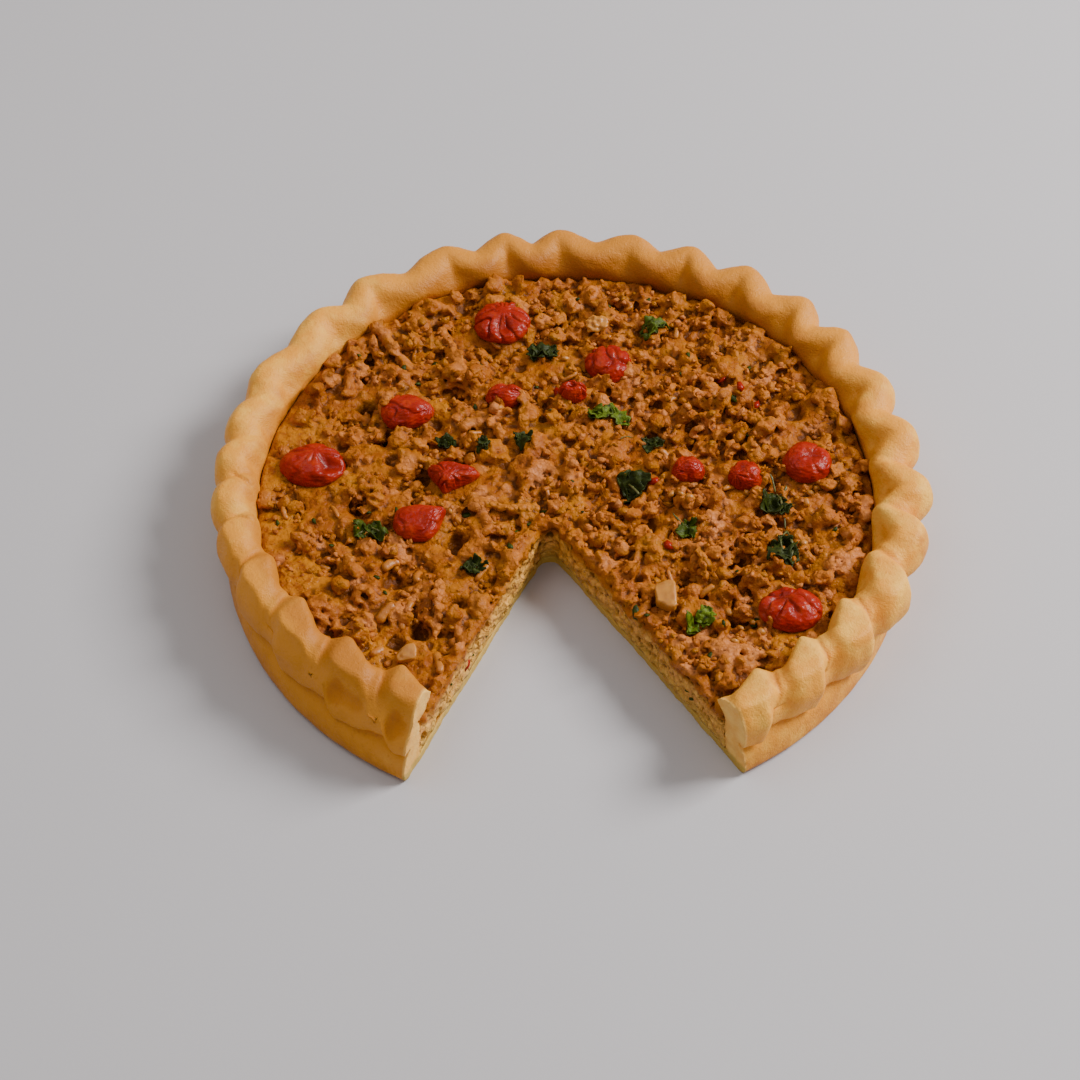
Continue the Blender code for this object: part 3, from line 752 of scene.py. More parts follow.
def plan_nodules(values):
    """Every nodule of the filling's top as x, y, lift above the custard, radius, kind and tint.

    Clumps are low heaps of nodules, wider one way, with single crumbs between them. The kinds
    are 1 for tuna and 0 for custard.
    """
    draw = random.Random(values.seed)
    nodules = []
    allowed = clump_rule()
    for x, y in scattered(draw, 16000, values.spacing, allowed):
        if draw.random() < 0.04 + 0.66 * bareness(np.array([(x, y)]))[0]:
            continue
        broad = noise.noise(Vector((x, y, 0)) / (16 * MM))
        heading = 2.6 * noise.noise(Vector((y, x, 0.01)) / (22 * MM)) + draw.uniform(-0.9, 0.9)
        reach = draw.uniform(1.8, 4.4)
        narrow = draw.uniform(0.45, 0.95)
        top = draw.uniform(1.0, 3.8) + 1.2 * broad
        kind = 0 if draw.random() < 0.14 else 1
        tint = draw.random()
        for _ in range(round(1.4 * reach * reach * narrow)):
            away, turn = math.sqrt(draw.random()), draw.uniform(0, math.tau)
            along, beside = reach * away * math.cos(turn), reach * narrow * away * math.sin(turn)
            nodules.append((
                x + (along * math.cos(heading) - beside * math.sin(heading)) * MM,
                y + (along * math.sin(heading) + beside * math.cos(heading)) * MM,
                top * (1.0 - 0.8 * away * away) + draw.uniform(-0.6, 0.8),
                draw.uniform(1.2, 2.7), kind, min(1.0, max(0.0, tint + draw.uniform(-0.15, 0.15))),
            ))
    for x, y in scattered(draw, 5000, 5.0 * MM, allowed):
        nodules.append((
            x, y, draw.uniform(-0.2, 1.2), draw.uniform(0.8, 1.6), draw.choice((0, 1, 1)),
            draw.random(),
        ))
    for x0, y0, x1, y1, width, lift in LONG_FLAKES:
        start, end = at_pixel(x0, y0), at_pixel(x1, y1)
        count = max(3, round((end - start).length / (0.42 * width * MM)))
        tint = draw.random()
        for step in range(count + 1):
            place = start.lerp(end, step / count)
            nodules.append((
                place.x + draw.uniform(-0.3, 0.3) * MM, place.y + draw.uniform(-0.3, 0.3) * MM,
                lift + draw.uniform(-0.3, 0.4), 0.5 * width * draw.uniform(0.85, 1.15), 1, tint,
            ))
    for across, down, reach, lift in CLUMPS:
        middle = at_pixel(across, down)
        tint = draw.random()
        for _ in range(round(2.6 * (reach / 1.4) ** 2)):
            radius = reach * math.sqrt(draw.random())
            angle = draw.uniform(0, math.tau)
            nodules.append((
                middle.x + radius * math.cos(angle) * MM, middle.y + radius * math.sin(angle) * MM,
                lift * (1.2 - (radius / reach) ** 2) + draw.uniform(-0.5, 0.8),
                draw.uniform(0.9, 1.7), 1, tint,
            ))
    table = np.array(nodules)
    inside = cut_depth(table[:, :2]) > 0.4 * MM
    near_rim = np.linalg.norm(table[:, :2], axis=1) + table[:, 3] * MM < FILLING_RADIUS + 0.6 * MM
    table = table[inside & near_rim]
    heights = filling_height(table[:, :2])
    centres = np.column_stack([table[:, :2], heights + table[:, 2] * MM])
    return centres, table[:, 3] * MM, table[:, 4], table[:, 5]


def cut_nodules(values):
    """Nodules just inside both cuts, which make the cut faces crumbly."""
    draw = random.Random(values.seed + 1)
    path = slice_path(1 * MM)
    along = np.gradient(path, axis=0)
    along /= np.linalg.norm(along, axis=1)[:, None]
    inward = np.column_stack([-along[:, 1], along[:, 0]])
    if (cut_depth(path + inward * MM) < cut_depth(path)).mean() > 0.5:
        inward = -inward
    rows = []
    tip = np.flatnonzero(np.linalg.norm(path - np.array(SLICE_APEX), axis=1) < 15 * MM)
    for turn in range(CUT_NODULES):
        step = draw.choice(tip) if turn % 4 == 0 else draw.randrange(len(path))
        size = draw.uniform(0.9, 2.6) * MM
        place = path[step] + inward[step] * (size - draw.uniform(-0.9, 1.0) * MM)
        if np.linalg.norm(place) < FILLING_FOOT_RADIUS - size:
            height = draw.uniform(FILLING_BOTTOM + size, FILLING_LEVEL + 0.5 * MM)
            rows.append((*place, height, size))
    table = np.array(rows)
    return table[:, :3], table[:, 3]


def ball():
    """The points and the twenty triangles of a unit ball."""
    shape = bmesh.new()
    bmesh.ops.create_icosphere(shape, subdivisions=1, radius=1)
    points = np.array([tuple(vert.co) for vert in shape.verts])
    faces = np.array([[vert.index for vert in face.verts] for face in shape.faces])
    shape.free()
    return points, faces


def random_turns(rng, count, lean):
    """Random turns as 3 by 3 matrices: any way round, and leaning up to an angle."""
    spin = rng.uniform(0, math.tau, count)
    tip = rng.uniform(-lean, lean, count)
    turn = np.zeros((count, 3, 3))
    turn[:, 0, 0] = np.cos(spin) * np.cos(tip)
    turn[:, 0, 1] = -np.sin(spin)
    turn[:, 0, 2] = np.cos(spin) * np.sin(tip)
    turn[:, 1, 0] = np.sin(spin) * np.cos(tip)
    turn[:, 1, 1] = np.cos(spin)
    turn[:, 1, 2] = np.sin(spin) * np.sin(tip)
    turn[:, 2, 0] = -np.sin(tip)
    turn[:, 2, 2] = np.cos(tip)
    return turn


def craggy_balls(name, centres, radii, seed, shape, crags, lean=0.7):
    """One mesh of many uneven balls, each turned its own way."""
    rng = np.random.default_rng(seed)
    points, faces = ball()
    count = len(centres)
    uneven = rng.uniform(*crags, (count, len(points), 1))
    stretch = np.array(shape) * rng.uniform(0.85, 1.2, (count, 1, 3))
    grown = points[None] * uneven * stretch * np.asarray(radii)[:, None, None]
    turned = np.einsum("nij,npj->npi", random_turns(rng, count, lean), grown)
    placed = turned + np.asarray(centres)[:, None]
    joined = faces[None] + (np.arange(count) * len(points))[:, None, None]
    return new_mesh(name, placed.reshape(-1, 3), joined.reshape(-1, 3))


def neighbour_means(points, edges, rounds):
    """The points smoothed by their neighbours' means a number of times."""
    count = len(points)
    first, second = edges[:, 0], edges[:, 1]
    share = np.bincount(first, minlength=count) + np.bincount(second, minlength=count)
    share = np.maximum(share, 1)
    for _ in range(rounds):
        total = np.column_stack([
            np.bincount(first, column[second], count) + np.bincount(second, column[first], count)
            for column in points.T
        ])
        points = 0.5 * points + 0.5 * total / share[:, None]
    return points


def edges_of(thing):
    """The mesh's edges as rows of two point numbers."""
    flat = np.empty(len(thing.data.edges) * 2, dtype=np.int64)
    thing.data.edges.foreach_get("vertices", flat)
    return flat.reshape(-1, 2)


def hollowness(thing, rounds):
    """How far each point lies below the smoothed surface, along its normal, in metres."""
    points = points_of(thing)
    smooth = neighbour_means(points, edges_of(thing), rounds)
    return ((smooth - points) * normals_of(thing)).sum(axis=1)


# Holes in the left cut, by the pixel of each and radius in mm
CUT_HOLES = (
    (471, 621, 1.6), (505, 593, 1.5), (454, 651, 1.2), (454, 670, 0.9), (475, 645, 0.8),
    (490, 607, 1.1), (521, 581, 1.2), (497, 620, 0.8), (462, 636, 1.0), (512, 603, 0.9),
    (447, 660, 0.8), (530, 571, 1.0),
)


def at_cut(across, down, heading=SLICE_LEFT):
    """Where the sight line through a pixel of the photograph meets a cut."""
    camera = camera_matrix()
    half = PHOTO_PIXELS / 2
    ray = camera.to_3x3() @ Vector((across - half, half - down, -FOCAL_PIXELS))
    eye = camera.translation
    side = Vector((math.sin(heading), -math.cos(heading), 0))
    apex = Vector((*SLICE_APEX, 0))
    return eye + ray * ((apex - eye).dot(side) / ray.dot(side))


def press_pits(body, values):
    """Push small holes into the cut faces and the custard."""
    rng = np.random.default_rng(values.seed + 2)
    points, normals = points_of(body), normals_of(body)
    depth = cut_depth(points)
    height = points[:, 2]
    sides = (depth < 1.6 * MM) & (height > FILLING_BOTTOM + MM) & (height < FILLING_LEVEL)
    on_cut = rng.choice(np.flatnonzero(sides), CUT_PITS)
    pits = [(points[place], rng.uniform(0.7, 1.5) * MM) for place in on_cut]
    pits += [(np.array(at_cut(across, down)), size * MM) for across, down, size in CUT_HOLES]
    top = (normals[:, 2] > 0.5) & (height > FILLING_LEVEL - 2 * MM) & (depth > 3 * MM)
    on_top = rng.choice(np.flatnonzero(top), TOP_PITS)
    pits += [(points[place], rng.uniform(0.4, 0.9) * MM) for place in on_top]
    for centre, size in pits:
        near = np.flatnonzero((np.abs(points - centre) < size).all(axis=1))
        gap = np.linalg.norm(points[near] - centre, axis=1) / size
        share = np.clip(1 - gap ** 2, 0, 1)
        points[near] -= normals[near] * (share * size * 1.1)[:, None]
    set_points(body, points)


def model_filling(values):
    """Fuse clumps of nodules to the custard under one fine skin, then roughen and thin it."""
    core = model_core()
    centres, radii, kinds, tints = plan_nodules(values)
    cut_centres, cut_radii = cut_nodules(values)
    lumps = craggy_balls(
        "lumps", centres, radii, values.seed, (1.5, 1.05, 0.62), (0.6, 1.4), 1.1)
    sides = craggy_balls(
        "sides", cut_centres, cut_radii, values.seed + 3, (1.2, 1.0, 0.8), (0.65, 1.35), 1.2)
    body = join([core, lumps, sides], "filling_body")
    apply_modifier(body, "REMESH", mode="VOXEL", voxel_size=values.grain)
    apply_modifier(body, "SMOOTH", factor=0.5, iterations=2)
    points = points_of(body)
    top = smooth_step((points[:, 2] - FILLING_BOTTOM - MM) / (2 * MM))
    inner = smooth_step((FILLING_RADIUS - np.linalg.norm(points[:, :2], axis=1)) / (2 * MM))
    crags = 0.35 * MM * craggy(points, 3.4 * MM, 2, 5) + 0.3 * MM
    folds = 1.0 * np.abs(grain(points, 2.9 * MM, 3)) + 0.45 * np.abs(grain(points, 1.4 * MM, 8))
    crags -= folds * MM * (1 - 0.8 * bareness(points[:, :2]))
    points += normals_of(body) * (crags * top * inner)[:, None]
    set_points(body, points)
    press_pits(body, values)
    points = points_of(body)
    low = points[:, 2] < FILLING_BOTTOM + 1.5 * values.grain
    points[low, 2] = FILLING_BOTTOM
    set_points(body, points)
    faces = 2 * len(body.data.polygons)
    apply_modifier(body, "DECIMATE", ratio=min(1.0, values.triangles / faces))
    mark_filling(body, centres, kinds, tints)
    return body


def mark_filling(body, centres, kinds, tints):
    """Numbers for the filling's finish: flake or custard, tint, hollow, cut and pool."""
    tree = kdtree.KDTree(len(centres))
    for index, centre in enumerate(centres.tolist()):
        tree.insert(centre, index)
    tree.balance()
    points = points_of(body)
    found = [tree.find(row) for row in points.tolist()]
    index = np.array([item[1] for item in found])
    gap = np.array([item[2] for item in found])
    near = smooth_step((2.7 * MM - gap) / (1.0 * MM))
    edges = edges_of(body)
    flake = neighbour_means((near * kinds[index])[:, None], edges, 2)[:, 0]
    tint = neighbour_means((near * tints[index] + (1 - near) * 0.5)[:, None], edges, 1)[:, 0]
    store(body, "flake", flake)
    store(body, "tint", tint)
    fine = hollowness(body, 4) / (0.3 * MM)
    broad = hollowness(body, 30) / (1.2 * MM)
    # Hollow: depth below the smoothed surface, which the finish paints as shade in gaps and holes
    # and as a highlight on raised flakes
    store(body, "hollow", np.clip(0.5 + 0.26 * fine + 0.42 * broad, 0, 1))
    cut = smooth_step(1 - (cut_depth(points) - 1.3 * MM) / (0.9 * MM))
    edge = 17.8 * MM + 3.2 * MM * grain(points, 6 * MM, 4)
    store(body, "cut", cut * smooth_step((edge - points[:, 2]) / (4.5 * MM)))
    pool = np.zeros(len(points))
    for across, down, reach, _ in POOLS:
        away = np.linalg.norm(points[:, :2] - np.array(at_pixel(across, down)), axis=1)
        pool = np.maximum(pool, smooth_step(1.5 - away / (reach * MM)))
    store(body, "pool", pool * (1 - near))


class Link:
    """A shader value that takes part in sums."""

    def __init__(self, finish, socket):
        self.finish = finish
        self.socket = socket

    def maths(self, operation, first, second):
        return self.finish.node("ShaderNodeMath", {"operation": operation}, {0: first, 1: second})

    def __add__(self, other):
        return self.maths("ADD", self, other)

    def __radd__(self, other):
        return self.maths("ADD", other, self)

    def __sub__(self, other):
        return self.maths("SUBTRACT", self, other)

    def __rsub__(self, other):
        return self.maths("SUBTRACT", other, self)

    def __mul__(self, other):
        return self.maths("MULTIPLY", self, other)

    def __rmul__(self, other):
        return self.maths("MULTIPLY", other, self)


class Finish:
    """A material and the nodes that make it."""

    def __init__(self, name):
        self.material = bpy.data.materials.new(name)
        self.material.use_nodes = True
        self.tree = self.material.node_tree
        self.tree.nodes.clear()
        self.place = self.node("ShaderNodeTexCoord", output="Object")

    def node(self, kind, settings=None, sockets=None, output=0):
        """Add a node: its settings first, then the values or links of its sockets."""
        made = self.tree.nodes.new(kind)
        for name, value in (settings or {}).items():
            setattr(made, name, value)
        for name, value in (sockets or {}).items():
            if isinstance(value, Link):
                self.tree.links.new(value.socket, made.inputs[name])
            else:
                made.inputs[name].default_value = value
        return Link(self, made.outputs[output])

    def mark(self, name):
        """A number that the mesh holds for each point."""
        return self.node("ShaderNodeAttribute", {"attribute_name": name}, output="Fac")

    def grain(self, size, detail=3.0, rough=0.55, stretch=None):
        """Noise from about 0.2 to 0.8 with features of a size in metres."""
        place = self.place
        if stretch:
            place = self.node(
                "ShaderNodeVectorMath", {"operation": "MULTIPLY"}, {0: place, 1: stretch})
        sockets = {"Vector": place, "Scale": 1 / size, "Detail": detail, "Roughness": rough}
        return self.node("ShaderNodeTexNoise", None, sockets)

    def cells(self, size, shift):
        """Distance to the nearest of many scattered points, over their spacing in metres.

        Noise moves the pattern by up to the shift, so that the cells are uneven.
        """
        sockets = {"Vector": self.place, "Scale": 1 / size}
        wander = self.node("ShaderNodeTexNoise", None, sockets, output="Color")
        sockets["Vector"] = self.node(
            "ShaderNodeVectorMath", {"operation": "MULTIPLY_ADD"},
            {0: wander, 1: (shift, shift, shift), 2: self.place},
        )
        return self.node("ShaderNodeTexVoronoi", {"feature": "F1"}, sockets)

    def rise(self, value, low, high):
        """0 where the value is low, 1 where it is high, and a smooth rise between."""
        sockets = {"Value": value, "From Min": low, "From Max": high}
        return self.node("ShaderNodeMapRange", {"interpolation_type": "SMOOTHSTEP"}, sockets)

    def blend(self, share, first, second):
        """A colour between two, by share."""
        sockets = {0: share, 6: self.opaque(first), 7: self.opaque(second)}
        return self.node("ShaderNodeMix", {"data_type": "RGBA"}, sockets, output=2)

    def opaque(self, colour):
        """A colour with its fourth number, or a link as it is."""
        return colour if isinstance(colour, Link) else (*colour, 1.0)

    def shade(self, colour, amount):
        """A colour times a grey amount."""
        grey = self.node("ShaderNodeCombineColor", None, {0: amount, 1: amount, 2: amount})
        sockets = {0: 1.0, 6: self.opaque(colour), 7: grey}
        return self.node(
            "ShaderNodeMix", {"data_type": "RGBA", "blend_type": "MULTIPLY"}, sockets, output=2)

    def surface(self, colour, roughness, relief, height, **fixed):
        """The shader, with relief from 0 to 1 as high as the height in metres."""
        sockets = {"Height": relief, "Distance": height, "Strength": 1.0}
        bump = self.node("ShaderNodeBump", None, sockets)
        sockets = {"Base Color": colour, "Roughness": roughness, "Normal": bump}
        sockets.update({name.replace("_", " "): value for name, value in fixed.items()})
        shader = self.node("ShaderNodeBsdfPrincipled", None, sockets)
        self.node_output(shader)
        return self.material

    def node_output(self, shader):
        """Send the shader to the material's output."""
        output = self.tree.nodes.new("ShaderNodeOutputMaterial")
        self.tree.links.new(shader.socket, output.inputs["Surface"])


def pastry_finish(values):
    """Baked shortcrust: palest on the crests as a painted highlight; browner low down and stained
    near the filling; darker in hollows, pockets, near the filling and on the back and front-left as
    painted shade; cream where cut.
    """
    finish = Finish("baked_pastry")
    height = finish.node("ShaderNodeSeparateXYZ", None, {0: finish.place}, output="Z")
    crest, pocket, cut = finish.mark("crest"), finish.mark("pocket"), finish.mark("cut")
    baked, hollow, inner = finish.mark("baked"), finish.mark("hollow"), finish.mark("inner")
    side_shade_brown = (0.45, 0.15, 0.011)
    crease_shade_brown = (0.52, 0.15, 0.008)
    inner_stain_and_shade = (0.34, 0.095, 0.005)
    crumb_gold = (0.85, 0.4, 0.07)
    crumb_cream = (0.95, 0.55, 0.13)
    crumb_moist = (0.46, 0.31, 0.05)
    patches = finish.grain(26 * MM, 3.0)
    mottle = finish.grain(6 * MM, 5.0, 0.62)
    fine = finish.grain(1.1 * MM, 4.0, 0.6)
    # Crests are painted paler, a painted highlight, and the back and front-left are pushed towards
    # gold by the baked mark, painted shade
    golden = patches * 0.8 + mottle * 0.8 - crest * 0.2 + baked * 0.4 - 0.06
    golden = finish.rise(golden, 0.42, 0.86)
    low = 1 - finish.rise(height, 1 * MM, 15 * MM)
    # Pockets add a little painted shade to this browning
    browned = mottle * 0.7 + patches * 0.5 + crest * 0.2 + low * 0.24 + pocket * 0.1
    browned = finish.rise(browned, 0.66, 1.08)
    colour = finish.blend(golden, values.pale, values.gold)
    colour = finish.blend(browned * 0.7, colour, values.brown)
    # Painted shade: the back's inner face and the front-left wall painted darker by the baked mark
    colour = finish.blend(baked * 0.72, colour, side_shade_brown)
    # Painted shade in the creases
    colour = finish.blend(finish.rise(hollow, 0.52, 0.95) * 0.5, colour, crease_shade_brown)
    # Near the filling: a stain from the filling plus painted shade, stronger on the back and
    # front-left
    colour = finish.blend(inner * (0.25 + baked * 0.6), colour, inner_stain_and_shade)
    speckle = finish.rise(finish.grain(1.6 * MM, 3.0), 0.58, 0.76)
    colour = finish.blend(speckle * 0.35, colour, values.brown)
    crumb = finish.blend(finish.rise(mottle, 0.35, 0.7), crumb_gold, crumb_cream)
    moist = 1 - finish.rise(height, 2.6 * MM, 4.5 * MM)
    crumb = finish.blend(moist * 0.8, crumb, crumb_moist)
    colour = finish.blend(cut, colour, crumb)
    roughness = 0.5 - golden * 0.1 + fine * 0.12
    relief = mottle * 0.45 + fine * 0.35 + finish.grain(0.5 * MM, 2.0) * 0.2
    return finish.surface(
        colour, roughness, relief, 0.8 * MM, Specular_IOR_Level=0.25,
    )


def filling_finish(values):
    """Moist tuna flakes in browned custard, dark in the gaps and holes as painted shade with some
    darker sauce, paler on the flakes' raised tops as a painted highlight, and cream where cut.
    """
    finish = Finish("tuna_filling")
    flake, tint, hollow = finish.mark("flake"), finish.mark("tint"), finish.mark("hollow")
    cut, pool = finish.mark("cut"), finish.mark("pool")
    mottle = finish.grain(3.4 * MM, 4.0, 0.6)
    patches = finish.grain(18 * MM, 2.0)
    fine = finish.grain(0.7 * MM, 3.0, 0.6)
    granules = finish.rise(finish.cells(1.7 * MM, 1.3 * MM), 0.25, 0.75)
    pale_flake = (0.54, 0.165, 0.02)
    golden_flake = (0.4, 0.14, 0.003)
    pink_flake = (0.56, 0.19, 0.055)
    golden = (0.42, 0.13, 0.003)
    pool_gold = (0.46, 0.155, 0.003)
    olive = (0.22, 0.1, 0.008)
    granule_gap_shade = (0.2, 0.05, 0.004)
    speck_brown = (0.2, 0.045, 0.004)
    gap_shade_and_sauce = (0.085, 0.02, 0.001)
    cut_tan = (0.54, 0.25, 0.04)
    cut_rosy = (0.62, 0.25, 0.07)
    cut_browned = (0.58, 0.24, 0.03)
    cut_moist = (0.6, 0.38, 0.07)
    parting_shade_brown = (0.4, 0.17, 0.02)
    hole_shade_brown = (0.2, 0.075, 0.01)
    tuna = finish.blend(finish.rise(tint + mottle * 0.4 - 0.2, 0.3, 0.95), values.flake, pale_flake)
    tuna = finish.blend((1 - finish.rise(tint, 0.1, 0.35)) * 0.8, tuna, golden_flake)
    tuna = finish.blend(finish.rise(tint, 0.7, 0.85) * 0.8, tuna, pink_flake)
    custard = finish.blend(finish.rise(mottle + patches * 0.6, 0.6, 1.0), values.custard, golden)
    in_pool = pool * finish.rise(mottle, 0.35, 0.6)
    custard = finish.blend(in_pool * 0.75, custard, pool_gold)
    colour = finish.blend(flake * (1 - finish.rise(patches, 0.5, 0.7) * 0.5), custard, tuna)
    stained = finish.rise(finish.grain(9 * MM, 3.0), 0.56, 0.72)
    colour = finish.blend(stained * 0.35, colour, olive)
    # Painted highlight: the flakes' raised tops painted paler
    colour = finish.blend((1 - finish.rise(hollow, 0.1, 0.42)) * flake * 0.6, colour, pale_flake)
    # Painted shade in the gaps between granules, where the relief dips
    colour = finish.blend(granules * flake * 0.35, colour, granule_gap_shade)
    colour = finish.blend(finish.rise(fine, 0.55, 0.75) * 0.2, colour, speck_brown)
    # Painted shade in the deep gaps, with some darker sauce
    dark = finish.rise(hollow, 0.6, 0.95)
    colour = finish.blend(dark * 0.85, colour, gap_shade_and_sauce)
    crumb = finish.blend(finish.rise(finish.grain(2.2 * MM, 3.0), 0.35, 0.7), values.cream, cut_tan)
    crumb = finish.blend(finish.rise(mottle, 0.5, 0.62) * 0.7, crumb, cut_rosy)
    height = finish.node("ShaderNodeSeparateXYZ", None, {0: finish.place}, output="Z")
    crumb = finish.blend(finish.rise(height, 14 * MM, 19 * MM) * 0.7, crumb, cut_browned)
    crumb = finish.blend((1 - finish.rise(height, 4 * MM, 10 * MM)) * 0.6, crumb, cut_moist)
    # Painted shade in the gaps between the cut's crumbs, where the relief dips
    parted = finish.rise(finish.cells(2.6 * MM, 1.8 * MM), 0.4, 0.85)
    crumb = finish.blend(parted * 0.5, crumb, parting_shade_brown)
    # Painted shade in the holes of the cut
    crumb = finish.blend(dark * 0.8, crumb, hole_shade_brown)
    colour = finish.blend(cut, colour, crumb)
    roughness = 0.38 - pool * 0.12 - flake * 0.04 + fine * 0.16
    relief = mottle * 0.3 + fine * 0.3 - granules * 0.4 - parted * cut * 1.2
    return finish.surface(colour, roughness, relief, 0.6 * MM, Specular_IOR_Level=0.12)


def floor_finish(values):
    """A plain pale surface."""
    finish = Finish("plain_floor")
    soft = finish.grain(0.4, 2.0)
    fine = finish.grain(2 * MM, 2.0)
    colour = finish.shade(values.floor, 0.97 + soft * 0.06)
    return finish.surface(colour, 0.6 + fine * 0.1, fine, 0.02 * MM)


def tomato_finish(values):
    """Wet baked tomato: deep red, paler streaks along the folds, darker in the creases and the
    hollow as painted shade.
    """
    finish = Finish("baked_tomato")
    streak, crease = finish.mark("streak"), finish.mark("crease")
    mottle = finish.grain(4 * MM, 3.0)
    fine = finish.grain(0.8 * MM, 3.0)
    colour = finish.blend(finish.rise(mottle, 0.45, 0.75), values.tomato, (0.42, 0.028, 0.001))
    colour = finish.blend(finish.rise(streak, 0.55, 0.9) * 0.3, colour, (0.52, 0.06, 0.007))
    # Painted shade in the folds and the hollow
    colour = finish.blend(crease * 0.7, colour, (0.14, 0.004, 0.002))
    roughness = 0.24 + fine * 0.14 + streak * 0.1
    relief = streak * 0.5 + mottle * 0.25 + fine * 0.25
    return finish.surface(
        colour, roughness, relief, 0.5 * MM,
        Coat_Weight=0.05, Coat_Roughness=0.1, Specular_IOR_Level=0.16,
        Subsurface_Weight=0.12, Subsurface_Radius=(1.0, 0.15, 0.08), Subsurface_Scale=2.5 * MM,
    )


def herb_finish(values):
    """Wilted dark leaves, some fresher and greener than others."""
    finish = Finish("baked_herb")
    fresh = finish.mark("fresh")
    mottle = finish.grain(1.8 * MM, 3.0)
    colour = finish.blend(finish.rise(mottle, 0.4, 0.75) * 0.7, values.herb, (0.04, 0.048, 0.004))
    colour = finish.blend(fresh * finish.rise(mottle, 0.25, 0.6), colour, (0.12, 0.17, 0.008))
    fine = finish.grain(0.6 * MM, 2.0)
    return finish.surface(
        colour, 0.34 + fine * 0.25, mottle * 0.6 + fine * 0.4, 0.5 * MM, Specular_IOR_Level=0.14)


def onion_finish():
    """Soft pale onion, browned in places."""
    finish = Finish("cooked_onion")
    mottle = finish.grain(4 * MM, 3.0)
    fibre = finish.grain(2.5 * MM, 3.0, 0.5, (1.0, 0.25, 1.0))
    colour = finish.blend(finish.rise(mottle, 0.4, 0.75), (0.5, 0.19, 0.018), (0.4, 0.13, 0.006))
    colour = finish.blend(finish.rise(fibre, 0.5, 0.8) * 0.4, colour, (0.6, 0.26, 0.035))
    return finish.surface(
        colour, 0.36 + mottle * 0.15, fibre * 0.6 + mottle * 0.4, 0.3 * MM,
        Subsurface_Weight=0.2, Subsurface_Radius=(1.0, 0.5, 0.2), Subsurface_Scale=2 * MM,
    )


def cheese_finish(name, light, deep):
    """Melted strips and grains, deeper in colour in places."""
    finish = Finish(name)
    tint = finish.mark("tint")
    mottle = finish.grain(3 * MM, 3.0)
    fine = finish.grain(0.8 * MM, 2.0)
    colour = finish.blend(finish.rise(tint * 0.6 + mottle, 0.45, 1.1), light, deep)
    return finish.surface(
        colour, 0.36 + fine * 0.16, mottle * 0.5 + fine * 0.5, 0.3 * MM,
        Subsurface_Weight=0.15, Subsurface_Radius=(1.0, 0.4, 0.1), Subsurface_Scale=2 * MM,
    )


# The tomato pieces: heading of the tip in degrees, taper, where the folds gather along and across
# the heading, their number all round and depth in mm, then a hollow's place and depth in mm, and
# how much of the back is kept
TOMATO_FORMS = {
    "tomato_01": (-90, -0.15, -0.2, 0.05, 11, 1.8, 0.5, 0.05, 2.2, 1.0),
    "tomato_02": (-75, 0.05, -1.5, 0.1, 11, 1.7, 0.2, 0.1, 0.6, 0.75),
    "tomato_03": (-8, 0.35, 0.95, 0.1, 13, 0.8, -0.2, -0.7, 1.0, 1.0),
    "tomato_04": (0, -0.1, 0.1, 0.4, 7, 1.1, 0.55, -0.25, 2.8, 1.0),
    "tomato_05": (-105, 0.7, 0.3, 0.0, 9, 0.9, -0.1, 0.3, 0.9, 0.55),
    "tomato_06": (35, 0.62, 0.85, 0.0, 15, 0.55, -0.2, -0.4, 0.7, 1.0),
    "tomato_07": (0, 0.0, 0.12, 0.0, 5, 0.6, 0.12, 0.0, 1.5, 1.0),
    "tomato_08": (215, 0.4, 0.9, 0.0, 8, 0.6, 0.3, 0.2, 0.6, 1.0),
    "tomato_09": (200, 0.2, 0.7, 0.1, 7, 0.7, 0.2, -0.2, 0.8, 1.0),
    "tomato_10": (-20, 0.05, -0.2, 0.3, 6, 2.3, -0.35, 0.15, 2.4, 1.0),
    "tomato_11": (-60, 0.1, 0.0, 0.2, 5, 1.8, -0.1, 0.0, 2.2, 1.0),
    "tomato_12": (15, 0.2, -0.9, 0.0, 7, 0.8, 0.1, 0.2, 0.8, 1.0),
}


